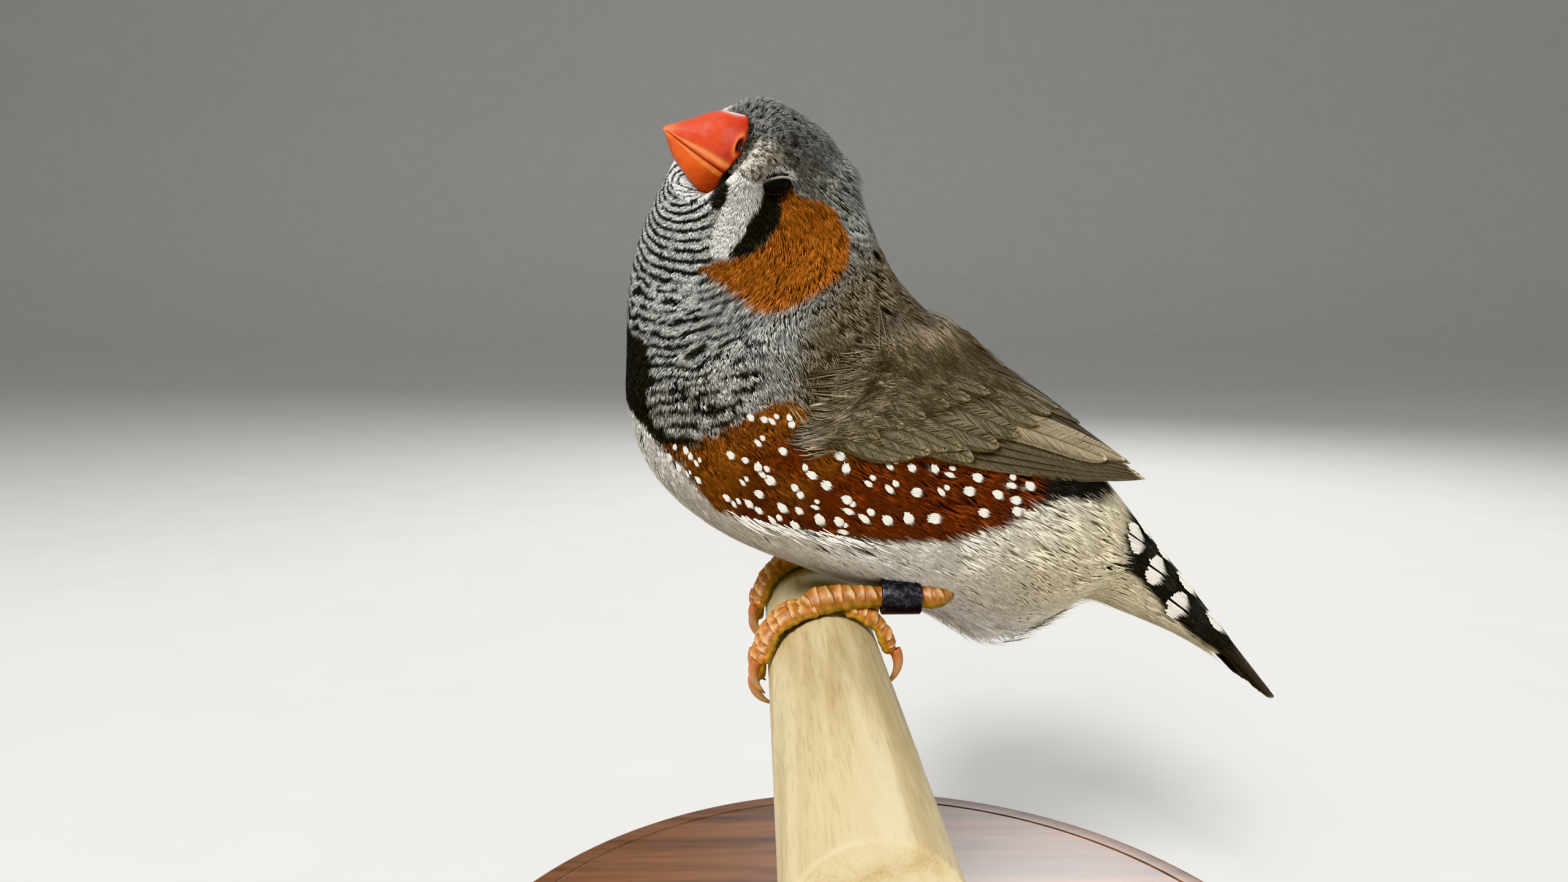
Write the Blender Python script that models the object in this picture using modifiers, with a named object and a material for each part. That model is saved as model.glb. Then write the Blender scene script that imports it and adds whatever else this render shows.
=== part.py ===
"""Zebra finch, adult male, as a still life-size model gripping a short wooden perch.

The bird stands across a cut length of dowel, its bill towards -X and its left side towards -Y, with
its head turned to its left and tilted. The perch rests on two rods over a round display base.

All sizes are in millimetres and are turned to metres as the meshes are made. Places on the legs are
measured from the perch point, which lies on the dowel's axis under the middle of the bird, and places
on the rest of the bird from the bird point just beside it. The model's origin is the middle of the
base's underside. The bird is one loft through named stations from the bill's base to the tail's tip,
parted with thin cuts into head, neck, trunk and tail.
"""

from math import cos, pi, radians, sin
from typing import NamedTuple

import bmesh
import bpy
import numpy as np
from mathutils import Matrix

MM = 0.001
GAP = 0.3
WELD_DISTANCE = 1e-6
SOFT_EDGE_ANGLE = radians(50)
HARD_EDGE_ANGLE = radians(40)

# Perch and display stand
PERCH_RADIUS = 7.2
PERCH_NEAR_END = -70.0
PERCH_FAR_END = 31.0
PERCH_HEIGHT = 53.0
PERCH_EDGE = 0.4
BASE_RADIUS = 60.0
BASE_THICKNESS = 9.0
BASE_EDGE = 1.2
ROD_RADIUS = 2.5
ROD_FOOT_DEPTH = 4.0
ROD_PLACES = (-44.0, 12.0)
PERCH_POINT = np.array([-8.0, 12.0, PERCH_HEIGHT])
BIRD_POINT = PERCH_POINT + (0.3, 0.0, -0.3)

# Head: turn to the bird's left, bill up, crown leaning to the bird's left, and mid-point of the eyes
HEAD_YAW = 38.0
HEAD_PITCH = 21.0
HEAD_ROLL = -34.0
HEAD_MIDDLE = np.array([-8.2, 0.0, 63.4])

# Bill, in the head's own axes: X forward, Y to the bird's left, Z up
BILL_TIP = np.array([14.2, 0.0, -2.2])
CULMEN_BASE = np.array([5.8, 0.0, 4.1])
GAPE = np.array([6.7, 3.8, -2.4])
GONYS_BASE = np.array([7.5, 0.0, -6.0])
BILL_TIP_SIZE = 0.35
MOUTH_GAP = 0.3
CULMEN_BOW = 0.9
GONYS_BOW = 0.35
BILL_SIDE_BOW = 0.12
BILL_TAPER = 0.85
BILL_FULLNESS = 0.9

# Eyes
EYE_RADIUS = 3.0
EYE_FRONT = np.array([0.3, 6.9, 0.1])
EYE_SOCKET_WIDTH = 3.6
EYE_SOCKET_DEPTH = 1.05

# Legs, toes, claws and leg ring
FOOT_SPREAD = 13.4
TOE_RADIUS = 0.95
TOE_TAPER = 0.12
TOE_ROOT_SHARE = 0.8
TOE_END_SHARE = 0.75
CLAW_RADIUS = 0.6
CLAW_TIP_RADIUS = 0.25
CLAW_STAND_OFF = 1.3
CLAW_ARCH = 0.75
CLAW_DROP = 0.85
RING_OUTER_RADIUS = 2.15
RING_INNER_RADIUS = 1.6
RING_LENGTH = 4.9
RING_ALONG_TARSUS = 0.47

# Wings
WING_THICKNESS = 1.5
WING_EDGE_THICKNESS = 0.7
WING_THICKEST_SHARE = 0.35

# Fineness of the lofts and of the round pieces
SIDES = 30
ROWS_PER_STATION = 3
WING_ROWS = 15
WING_COLUMNS = 9
BILL_ROWS = 7
BILL_COLUMNS = 11
TOE_POINTS = 8
CLAW_POINTS = 6
EYE_SIDES = 18
EYE_RINGS = 10
RING_SIDES = 32
PERCH_SIDES = 48
ROD_SIDES = 24
BASE_SIDES = 72


class Station(NamedTuple):
    """One cross-section of the body: its top and bottom points, half width and lean to the head."""

    name: str
    dorsal: tuple
    ventral: tuple
    half_width: float
    egg: float
    head_share: float


def turn(axis: int, degrees: float) -> np.ndarray:
    """Return the matrix of a right-handed turn about axis 0, 1 or 2."""
    angle = radians(degrees)
    first, second = [(1, 2), (2, 0), (0, 1)][axis]
    matrix = np.eye(3)
    matrix[first, first] = matrix[second, second] = cos(angle)
    matrix[first, second] = -sin(angle)
    matrix[second, first] = sin(angle)
    return matrix


HEAD_AXES = turn(2, 180.0 + HEAD_YAW) @ turn(1, -HEAD_PITCH) @ turn(0, HEAD_ROLL)
LEFT = np.array([0.0, -1.0, 0.0])


def on_head(point) -> np.ndarray:
    """Turn a place given in the head's own axes into the bird's frame."""
    return HEAD_MIDDLE + np.asarray(point, float) @ HEAD_AXES.T


STATIONS = (
    Station("bill base", on_head((5.5, 0, 4.6)), on_head((7.4, 0, -6.3)), 5.2, -0.05, 1.00),
    Station("forehead", on_head((3.7, 0, 7.6)), (-19.6, -3.0, 59.4), 7.2, -0.02, 1.00),
    Station("crown", on_head((-0.9, -0.3, 8.2)), (-22.1, -1.4, 55.2), 8.1, 0.10, 1.00),
    Station("occiput", on_head((-7.2, -1.0, 7.7)), (-24.0, 0.2, 50.2), 9.4, 0.27, 0.90),
    Station("nape", (4.6, 6.2, 61.6), (-25.3, 0.4, 45.3), 11.6, 0.26, 0.55),
    Station("neck", (7.4, 3.2, 53.8), (-25.9, 0.4, 39.0), 14.4, 0.14, 0.22),
    Station("shoulder", (10.6, 0.6, 47.9), (-25.7, 0.0, 32.0), 16.6, 0.08, 0.00),
    Station("mantle", (17.6, 0.0, 41.3), (-22.6, 0.0, 23.6), 18.2, 0.06, 0.00),
    Station("back", (26.0, 0.0, 34.6), (-14.5, 0.0, 16.2), 18.8, 0.08, 0.00),
    Station("saddle", (32.8, 0.0, 28.4), (-2.5, 0.0, 10.9), 18.2, 0.10, 0.00),
    Station("thigh", (37.6, 0.0, 22.8), (10.5, 0.0, 6.0), 15.8, 0.02, 0.00),
    Station("vent", (41.0, 0.0, 18.6), (23.4, 0.0, 0.9), 10.8, -0.28, 0.00),
    Station("tail root", (44.0, 0.0, 14.6), (33.4, 0.0, 6.2), 7.9, -0.20, 0.00),
    Station("coverts", (49.2, 0.0, 8.5), (42.6, 0.0, 3.4), 6.8, 0.00, 0.00),
    Station("tail", (55.4, 0.0, 0.6), (52.2, 0.0, -1.5), 6.0, 0.00, 0.00),
    Station("tail tip", (62.4, 0.0, -7.9), (61.8, 0.0, -8.4), 3.8, 0.00, 0.00),
)
HEAD_END = 4.6
NECK_END = 6.1
TRUNK_END = 11.6
TAIL_END = len(STATIONS) - 1.0

# The left wing's lower and upper edges from the shoulder to the tip, and how far it bulges between
WING_LOWER = ((-0.6, -17.6, 37.4), (-1.2, -19.0, 31.8), (3.4, -19.3, 28.7), (12.6, -18.6, 27.2),
              (22.4, -16.2, 25.8), (31.4, -11.5, 24.4), (38.0, -6.8, 23.8), (43.0, -3.9, 23.4))
WING_UPPER = ((7.4, -11.4, 44.0), (14.0, -7.4, 42.9), (20.0, -5.4, 38.9), (25.6, -3.4, 36.0),
              (31.0, -1.6, 32.6), (35.6, -1.2, 29.4), (40.0, -1.6, 26.2), (43.4, -2.7, 23.8))
WING_BULGE = (0.9, 3.4, 4.3, 3.7, 2.4, 1.3, 0.5, 0.1)

# Colours (red, green, blue in linear light) and roughness of each part
FINISHES = {
    "crown_grey": ((0.20, 0.20, 0.19), 0.85),
    "breast_grey": ((0.26, 0.26, 0.25), 0.85),
    "flank_chestnut": ((0.15, 0.035, 0.012), 0.80),
    "tail_black": ((0.02, 0.018, 0.015), 0.70),
    "wing_brown": ((0.14, 0.11, 0.075), 0.75),
    "bill_red": ((0.62, 0.07, 0.02), 0.35),
    "bill_orange": ((0.75, 0.12, 0.02), 0.35),
    "eye_black": ((0.01, 0.006, 0.004), 0.05),
    "leg_orange": ((0.65, 0.22, 0.05), 0.50),
    "claw_horn": ((0.55, 0.33, 0.20), 0.40),
    "ring_black": ((0.012, 0.012, 0.013), 0.45),
    "perch_wood": ((0.62, 0.48, 0.28), 0.65),
    "base_wood": ((0.05, 0.025, 0.012), 0.40),
    "rod_steel": ((0.45, 0.44, 0.42), 0.30),
}


def unit(vectors: np.ndarray) -> np.ndarray:
    """Scale vectors along the last axis to length one."""
    return vectors / np.linalg.norm(vectors, axis=-1, keepdims=True)


def through(rows, place) -> np.ndarray:
    """Read a Catmull-Rom curve through the rows at fractional row numbers."""
    rows = np.asarray(rows, float)
    last = len(rows) - 1
    place = np.clip(np.asarray(place, float), 0, last)
    start = np.minimum(place.astype(int), last - 1)
    t = place - start
    ends = np.concatenate([[2 * rows[0] - rows[1]], rows, [2 * rows[-1] - rows[-2]]])
    before, here, there, after = (ends[start + step] for step in range(4))
    if rows.ndim > 1:
        t = t[..., None]
    return 0.5 * (2 * here + (there - before) * t
                  + (2 * before - 5 * here + 4 * there - after) * t ** 2
                  + (3 * here - before - 3 * there + after) * t ** 3)


def body_surface(station, angle) -> np.ndarray:
    """Return points on the feathered outline.

    station runs from 0 at the bill's base to 15 at the tail's tip, and angle from 0 on the back over
    the bird's left side. A section is an ellipse between its dorsal and ventral points, made
    egg-shaped, wider towards the belly, and its width axis leans with the head near the head. Round
    each eye the face is pressed in a little.
    """
    station, angle = np.broadcast_arrays(np.asarray(station, float), np.asarray(angle, float))
    dorsal = through([s.dorsal for s in STATIONS], station)
    ventral = through([s.ventral for s in STATIONS], station)
    half_width = through([s.half_width for s in STATIONS], station)
    egg = through([s.egg for s in STATIONS], station)
    share = np.clip(through([s.head_share for s in STATIONS], station), 0, 1)[..., None]
    up = unit(dorsal - ventral)
    left = unit(share * HEAD_AXES[:, 1] + (1 - share) * LEFT)
    left = unit(left - (left * up).sum(-1, keepdims=True) * up)
    half_height = np.linalg.norm(dorsal - ventral, axis=-1) / 2
    rise = half_height * np.cos(angle)
    spread = half_width * np.sin(angle) * (1 - egg * np.cos(angle))
    points = (dorsal + ventral) / 2 + up * rise[..., None] + left * spread[..., None]
    for side in (1, -1):
        eye = on_head(EYE_FRONT * (1, side, 1))
        outward = side * HEAD_AXES[:, 1]
        reach = ((points - eye) ** 2).sum(-1) / EYE_SOCKET_WIDTH ** 2
        points = points - outward * (EYE_SOCKET_DEPTH * np.exp(-reach))[..., None]
    return points


def new_collection(name: str):
    """Make a collection and link it to the scene."""
    collection = bpy.data.collections.new(name)
    bpy.context.scene.collection.children.link(collection)
    return collection


def finish_of(name: str):
    """Return the material of a finish, made on first use."""
    material = bpy.data.materials.get(name)
    if material is None:
        colour, roughness = FINISHES[name]
        material = bpy.data.materials.new(name)
        material.use_nodes = True
        shader = material.node_tree.nodes["Principled BSDF"]
        shader.inputs["Base Color"].default_value = (*colour, 1.0)
        shader.inputs["Roughness"].default_value = roughness
        shader.inputs["Metallic"].default_value = 1.0 if name == "rod_steel" else 0.0
    return material


def settle(obj, collection, finish: str = "") -> None:
    """Move an object to a collection and give it its finish."""
    for owner in list(obj.users_collection):
        owner.objects.unlink(obj)
    collection.objects.link(obj)
    if finish:
        obj.data.materials.append(finish_of(finish))


def lofted(name: str, rings: np.ndarray):
    """Skin closed rings of points with quads and close both ends with a flat face each.

    rings has the shape (rows, points in a ring, 3), in millimetres from the bird point, and its
    rings turn left-handed about the way they advance, so that the faces point out.
    """
    rows, count = rings.shape[:2]
    points = (rings.reshape(-1, 3) + BIRD_POINT) * MM
    faces = []
    for row in range(rows - 1):
        for k in range(count):
            here, after = row * count + k, row * count + (k + 1) % count
            faces.append((here, here + count, after + count, after))
    faces.append(tuple(range(count)))
    faces.append(tuple(range(rows * count - 1, (rows - 1) * count - 1, -1)))
    mesh = bpy.data.meshes.new(name)
    mesh.from_pydata(points.tolist(), [], faces)
    work = bmesh.new()
    work.from_mesh(mesh)
    bmesh.ops.recalc_face_normals(work, faces=work.faces)
    work.to_mesh(mesh)
    work.free()
    mesh.shade_smooth()
    mesh.set_sharp_from_angle(angle=SOFT_EDGE_ANGLE)
    return bpy.data.objects.new(name, mesh)


def body_length(name: str, start: float, end: float):
    """Make one length of the body, drawn in by half a gap at each cut."""
    rows = max(4, round((end - start) * ROWS_PER_STATION) + 1)
    stations = np.linspace(start, end, rows)[:, None]
    angles = np.arange(SIDES) * 2 * pi / SIDES
    rings = body_surface(stations, angles[None, :])
    for row, inside in ((0, 1), (-1, -2)):
        ring = rings[row]
        normal = unit(np.cross(ring[SIDES // 4] - ring[0], ring[SIDES // 2] - ring[0]))
        inward = (rings[inside] - ring).mean(0) @ normal
        rings[row] = ring + normal * np.sign(inward) * GAP / 2
    return lofted(name, rings)


def wing_solid(name: str, side: int, grow: float = 0.0):
    """Make a folded wing, a bowed blade that hugs the body and runs free to its tip.

    side is 1 for the left wing and -1 for the right. grow swells the blade on every side, which
    gives the cutter that clears the trunk under it.
    """
    place = np.linspace(0, len(WING_BULGE) - 1, WING_ROWS)[:, None]
    lower = through(WING_LOWER, place[:, 0])
    upper = through(WING_UPPER, place[:, 0])
    bulge = through(WING_BULGE, place)
    width = np.linalg.norm(upper - lower, axis=1, keepdims=True)
    along = unit(np.gradient((lower + upper) / 2, axis=0))
    chord = unit(upper - lower)
    outward = unit(np.cross(along, chord))
    outward *= np.sign(-outward[:, 1:2])
    lower = lower - chord * grow
    upper = upper + chord * grow
    if grow:
        lower[0] -= along[0] * grow
        upper[0] -= along[0] * grow
        lower[-1] += along[-1] * grow
        upper[-1] += along[-1] * grow
    t = np.linspace(0, 1, WING_COLUMNS)[None, :, None]
    arch = 4 * t * (1 - t)
    middle = lower[:, None] * (1 - t) + upper[:, None] * t + outward[:, None] * bulge[:, None] * arch
    mid_thickness = np.minimum(WING_THICKNESS, WING_THICKEST_SHARE * width)[:, None]
    thickness = np.maximum(WING_EDGE_THICKNESS + (mid_thickness - WING_EDGE_THICKNESS) * arch,
                           WING_EDGE_THICKNESS)
    outer = middle + outward[:, None] * grow
    inner = middle - outward[:, None] * (thickness + grow)
    rings = np.concatenate([outer, inner[:, ::-1]], axis=1)
    rings = rings * (1, side, 1)
    return lofted(name, rings)


def bill_half(name: str, upper: bool):
    """Make one mandible: sections from the bill's base shrink to the tip along bowed edges.

    The ridge, culmen above or gonys below, bows outwards from the straight line to the tip, and so
    does the cutting edge seen from above. A section is a flat mouth side closed by half an ellipse.
    """
    t = np.linspace(0, 1, BILL_ROWS)
    ridge_base = CULMEN_BASE if upper else GONYS_BASE
    side = 1 if upper else -1
    bow = (CULMEN_BOW if upper else GONYS_BOW) * np.sin(pi * t)
    ridge = ridge_base + (BILL_TIP - ridge_base) * t[:, None]
    ridge[:, 2] += side * bow
    edge = GAPE + (BILL_TIP - GAPE) * t[:, None]
    half_width = GAPE[1] * (1 - t) ** BILL_TAPER * (1 + BILL_SIDE_BOW * np.sin(pi * t)) + BILL_TIP_SIZE
    mouth = edge * (1, 0, 1)
    mouth[:, 2] += side * MOUTH_GAP / 2
    ridge[:, 2] += side * BILL_TIP_SIZE
    ridge[0, 0] += GAP
    mouth[0, 0] += GAP
    angle = np.linspace(0, pi, BILL_COLUMNS)
    swell = np.abs(np.sin(angle)) ** BILL_FULLNESS
    rise = ridge - mouth
    rings = (mouth[:, None] + rise[:, None] * swell[None, :, None]
             + np.array([0.0, 1.0, 0.0]) * (half_width[:, None] * np.cos(angle))[:, :, None])
    return lofted(name, on_head(rings))


def eyeball(name: str, centre: np.ndarray, radius: float):
    """Make a sphere at a place on the bird, its poles to the bird's left and right."""
    mesh = bpy.data.meshes.new(name)
    work = bmesh.new()
    bmesh.ops.create_uvsphere(work, u_segments=EYE_SIDES, v_segments=EYE_RINGS, radius=radius * MM)
    work.to_mesh(mesh)
    work.free()
    mesh.shade_smooth()
    ball = bpy.data.objects.new(name, mesh)
    axes = Matrix(HEAD_AXES.tolist()).to_4x4() @ Matrix.Rotation(pi / 2, 4, "X")
    ball.matrix_world = Matrix.Translation(((centre + BIRD_POINT) * MM).tolist()) @ axes
    return ball


def tapered_tube(name: str, path: np.ndarray, radii, steps: int = 2):
    """Make a tube along a path, with a radius at each point and filled ends, as a closed mesh."""
    curve = bpy.data.curves.new(name, "CURVE")
    curve.dimensions = "3D"
    curve.bevel_depth = MM
    curve.bevel_resolution = steps
    curve.use_fill_caps = True
    spline = curve.splines.new("POLY")
    spline.points.add(len(path) - 1)
    for point, place, radius in zip(spline.points, (path + PERCH_POINT) * MM, radii):
        point.co = (*place, 1.0)
        point.radius = radius
    wire = bpy.data.objects.new(name + "_wire", curve)
    bpy.context.scene.collection.objects.link(wire)
    depsgraph = bpy.context.evaluated_depsgraph_get()
    mesh = bpy.data.meshes.new_from_object(wire.evaluated_get(depsgraph))
    bpy.data.objects.remove(wire)
    bpy.data.curves.remove(curve)
    work = bmesh.new()
    work.from_mesh(mesh)
    bmesh.ops.remove_doubles(work, verts=work.verts, dist=WELD_DISTANCE)
    bmesh.ops.recalc_face_normals(work, faces=work.faces)
    work.to_mesh(mesh)
    work.free()
    mesh.name = name
    mesh.shade_smooth()
    mesh.set_sharp_from_angle(angle=SOFT_EDGE_ANGLE)
    return bpy.data.objects.new(name, mesh)


class Toe(NamedTuple):
    """A toe round the perch: its angles about the dowel's axis and its places along the dowel."""

    root_angle: float
    tip_angle: float
    claw_angle: float
    root_across: float
    tip_across: float
    knuckle: float


# Angles run from +X, the tail side, over the top of the dowel
TOES = {
    "inner": Toe(95.0, 170.0, 196.0, 2.1, 3.4, 0.5),
    "middle": Toe(97.0, 187.0, 212.0, 0.0, 0.4, 0.7),
    "outer": Toe(95.0, 166.0, 191.0, -2.1, -3.1, 0.5),
    "hind": Toe(49.0, 14.0, -15.0, 0.5, 0.9, 0.4),
}
TARSUS_PATH = ((1.2, 0.0, 8.95), (3.6, 0.0, 9.25), (6.6, 0.0, 9.5), (10.2, 0.0, 9.5), (13.4, 0.1, 9.5),
               (16.4, 0.3, 9.6), (19.4, 0.5, 10.4))
TARSUS_RADII = (1.0, 1.35, 1.15, 1.1, 1.2, 1.6, 1.5)


def round_perch(angle, radius, across) -> np.ndarray:
    """Return places at angles in degrees and radii about the dowel's axis."""
    angle = np.radians(angle)
    return np.stack([radius * np.cos(angle), across, radius * np.sin(angle)], -1)


def toe_path(toe: Toe) -> tuple:
    """Return a left toe's path, in the left foot's own frame, and its radii."""
    t = np.linspace(0, 1, TOE_POINTS)
    angle = toe.root_angle + (toe.tip_angle - toe.root_angle) * t
    thickness = TOE_RADIUS * (1 - TOE_TAPER * t)
    radius = PERCH_RADIUS + GAP + thickness + toe.knuckle * np.sin(pi * t) ** 2
    across = toe.root_across + (toe.tip_across - toe.root_across) * t
    thickness[0] *= TOE_ROOT_SHARE
    thickness[-1] *= TOE_END_SHARE
    return round_perch(angle, radius, across), thickness


def claw_path(toe: Toe) -> tuple:
    """Return a left claw's path: out from the toe's end and curving back to the perch."""
    step = np.sign(toe.claw_angle - toe.tip_angle)
    start = toe.tip_angle + step * np.degrees((TOE_RADIUS * 0.35 + GAP) / PERCH_RADIUS)
    t = np.linspace(0, 1, CLAW_POINTS)
    angle = start + (toe.claw_angle - start) * t
    arch = CLAW_ARCH * np.sin(pi * (1 - CLAW_DROP * (1 - t)))
    radius = PERCH_RADIUS + GAP + CLAW_STAND_OFF + arch - CLAW_DROP * t
    across = np.full(CLAW_POINTS, toe.tip_across)
    thickness = CLAW_RADIUS + (CLAW_TIP_RADIUS - CLAW_RADIUS) * t
    return round_perch(angle, radius, across), thickness


def mirrored(path, side: int) -> np.ndarray:
    """Carry a path from the left foot's frame to the left or right side of the bird."""
    path = np.asarray(path, float) - (0.0, FOOT_SPREAD, 0.0)
    return path * (1, side, 1)


def cylinder(name: str, radius: float, depth: float, sides: int):
    """Make a cylinder about Z, centred at the origin."""
    mesh = bpy.data.meshes.new(name)
    work = bmesh.new()
    bmesh.ops.create_cone(work, cap_ends=True, segments=sides, radius1=radius * MM,
                          radius2=radius * MM, depth=depth * MM)
    work.to_mesh(mesh)
    work.free()
    mesh.shade_smooth()
    mesh.set_sharp_from_angle(angle=HARD_EDGE_ANGLE)
    return bpy.data.objects.new(name, mesh)


def bevel(obj, width: float, segments: int) -> None:
    """Round an object's sharp edges."""
    modifier = obj.modifiers.new("rounded edge", "BEVEL")
    modifier.width = width * MM
    modifier.segments = segments
    modifier.limit_method = "ANGLE"
    modifier.angle_limit = HARD_EDGE_ANGLE


def cut(target, cutter, cutters) -> None:
    """Cut one object out of another, and keep the cutter as a guide."""
    settle(cutter, cutters)
    cutter.hide_render = True
    cutter.display_type = "WIRE"
    modifier = target.modifiers.new("cut by " + cutter.name, "BOOLEAN")
    modifier.operation = "DIFFERENCE"
    modifier.object = cutter


def build_body(parts, cutters) -> None:
    """Build the head, neck, trunk and tail, the eyes and the bill."""
    head = body_length("head", 0.0, HEAD_END)
    settle(head, parts, "crown_grey")
    settle(body_length("neck", HEAD_END, NECK_END), parts, "breast_grey")
    trunk = body_length("trunk", NECK_END, TRUNK_END)
    settle(trunk, parts, "flank_chestnut")
    settle(body_length("tail", TRUNK_END, TAIL_END), parts, "tail_black")
    for word, side in (("left", 1), ("right", -1)):
        centre = on_head((EYE_FRONT - (0.0, EYE_RADIUS, 0.0)) * (1, side, 1))
        settle(eyeball("eye_" + word, centre, EYE_RADIUS), parts, "eye_black")
        cut(head, eyeball("socket_" + word, centre, EYE_RADIUS + GAP), cutters)
        settle(wing_solid("wing_" + word, side), parts, "wing_brown")
        cut(trunk, wing_solid("under_wing_" + word, side, grow=GAP), cutters)
        thigh = tapered_tube("thigh_" + word, mirrored(TARSUS_PATH, side),
                             np.array(TARSUS_RADII) + GAP)
        cut(trunk, thigh, cutters)
    settle(bill_half("bill_upper", True), parts, "bill_red")
    settle(bill_half("bill_lower", False), parts, "bill_orange")


def build_legs(parts) -> None:
    """Build both legs with their toes and claws, and the ring on the left leg."""
    for word, side in (("left", 1), ("right", -1)):
        path = mirrored(TARSUS_PATH, side)
        settle(tapered_tube("leg_" + word, path, TARSUS_RADII), parts, "leg_orange")
        for name, toe in TOES.items():
            path, radii = toe_path(toe)
            tube = tapered_tube(f"toe_{word}_{name}", mirrored(path, side), radii, steps=1)
            settle(tube, parts, "leg_orange")
            path, radii = claw_path(toe)
            tube = tapered_tube(f"claw_{word}_{name}", mirrored(path, side), radii, steps=1)
            settle(tube, parts, "claw_horn")


def build_ring(parts, cutters) -> None:
    """Build the closed leg ring round the left tarsus, and press it clear of the belly."""
    along = RING_ALONG_TARSUS * (len(TARSUS_PATH) - 1)
    path = mirrored(TARSUS_PATH, 1)
    middle = through(path, along)
    way = unit(through(path, along + 0.2) - through(path, along - 0.2))
    tilt = Matrix.Rotation(-np.arctan2(way[2], way[0]), 4, "Y") @ Matrix.Rotation(pi / 2, 4, "Y")
    place = Matrix.Translation(((middle + PERCH_POINT) * MM).tolist()) @ tilt
    ring = cylinder("leg_ring", RING_OUTER_RADIUS, RING_LENGTH, RING_SIDES)
    ring.matrix_world = place
    settle(ring, parts, "ring_black")
    bore = cylinder("leg_ring_bore", RING_INNER_RADIUS, 2 * RING_LENGTH, RING_SIDES)
    bore.matrix_world = place
    cut(ring, bore, cutters)
    room = cylinder("leg_ring_room", RING_OUTER_RADIUS + GAP, RING_LENGTH + 2 * GAP, RING_SIDES)
    room.matrix_world = place
    cut(bpy.data.objects["trunk"], room, cutters)


def build_stand(parts, cutters) -> None:
    """Build the perch, its two rods and the round base."""
    length = PERCH_FAR_END - PERCH_NEAR_END
    middle = (PERCH_FAR_END + PERCH_NEAR_END) / 2
    lay = Matrix.Rotation(pi / 2, 4, "X")
    along = Matrix.Translation(((PERCH_POINT + (0.0, middle, 0.0)) * MM).tolist()) @ lay
    perch = cylinder("perch", PERCH_RADIUS, length, PERCH_SIDES)
    perch.matrix_world = along
    bevel(perch, PERCH_EDGE, 1)
    settle(perch, parts, "perch_wood")
    base = cylinder("stand_base", BASE_RADIUS, BASE_THICKNESS, BASE_SIDES)
    base.matrix_world = Matrix.Translation((0.0, 0.0, BASE_THICKNESS / 2 * MM))
    bevel(base, BASE_EDGE, 2)
    settle(base, parts, "base_wood")
    foot = BASE_THICKNESS - ROD_FOOT_DEPTH
    top = PERCH_HEIGHT - PERCH_RADIUS / 2
    for word, across in zip(("near", "far"), ROD_PLACES):
        place = PERCH_POINT * (1, 1, 0) + (0.0, across, (foot + top) / 2)
        rod = cylinder("stand_rod_" + word, ROD_RADIUS, top - foot, ROD_SIDES)
        rod.matrix_world = Matrix.Translation((place * MM).tolist())
        settle(rod, parts, "rod_steel")
        saddle = cylinder("saddle_" + word, PERCH_RADIUS + GAP, 2 * length, PERCH_SIDES)
        saddle.matrix_world = along
        cut(rod, saddle, cutters)
        socket = cylinder("socket_rod_" + word, ROD_RADIUS + GAP, top - foot + 2 * GAP, ROD_SIDES)
        socket.matrix_world = Matrix.Translation((place * MM).tolist())
        cut(base, socket, cutters)


def main() -> None:
    """Clear the scene and build the model."""
    for obj in list(bpy.data.objects):
        bpy.data.objects.remove(obj)
    parts = new_collection("zebra_finch")
    cutters = new_collection("cutters")
    build_body(parts, cutters)
    build_legs(parts)
    build_ring(parts, cutters)
    build_stand(parts, cutters)


main()
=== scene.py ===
"""Looks of a zebra finch gripping a perch on a display stand.

The bird is worked out in millimetres in its own frame: the origin is the bird point beside the
perch's axis, -X is forward, -Y the bird's left and +Z up. Meshes are written in metres in the
model's frame. The body is one surface of two parameters, station from the bill's base to the tail's
tip and angle from the back over the left side. The skin lies under it by the coat's depth, and each
strand of the coat rises from the skin to it.
"""

import logging
from dataclasses import dataclass
from enum import Enum
from itertools import product
from math import atan2, cos, pi, radians, sin, sqrt
from typing import Callable, NamedTuple

import bpy
import numpy as np
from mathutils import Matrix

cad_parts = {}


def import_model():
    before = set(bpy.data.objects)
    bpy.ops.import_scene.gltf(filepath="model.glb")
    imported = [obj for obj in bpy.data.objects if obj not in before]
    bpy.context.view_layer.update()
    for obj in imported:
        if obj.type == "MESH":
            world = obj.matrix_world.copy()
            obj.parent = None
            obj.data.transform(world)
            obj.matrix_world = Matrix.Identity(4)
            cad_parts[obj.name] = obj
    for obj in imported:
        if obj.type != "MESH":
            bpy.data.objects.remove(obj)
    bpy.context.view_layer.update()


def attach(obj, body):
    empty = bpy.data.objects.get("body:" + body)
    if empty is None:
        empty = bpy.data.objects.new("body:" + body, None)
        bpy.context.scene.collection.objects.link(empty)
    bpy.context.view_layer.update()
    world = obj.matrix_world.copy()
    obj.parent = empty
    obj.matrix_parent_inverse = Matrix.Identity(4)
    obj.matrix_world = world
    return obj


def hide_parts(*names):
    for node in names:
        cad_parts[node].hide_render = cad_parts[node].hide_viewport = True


log = logging.getLogger("finch")

MM = 0.001
BODY = "root"

# Places and sizes that the frame fixes, in millimetres
PERCH_RADIUS = 7.2
PERCH_POINT = np.array([-8.0, 12.0, 53.0])
BIRD_POINT = PERCH_POINT + (0.3, 0.0, -0.3)
PERCH_ENDS = (-70.0, 31.0)
FOOT_SPREAD = 13.4
HEAD_TURNS = (38.0, 21.0, -34.0)
HEAD_MIDDLE = np.array([-8.2, 0.0, 63.4])
EYE_FRONT = np.array([0.3, 6.9, 0.1])
LEFT = np.array([0.0, -1.0, 0.0])

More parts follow.
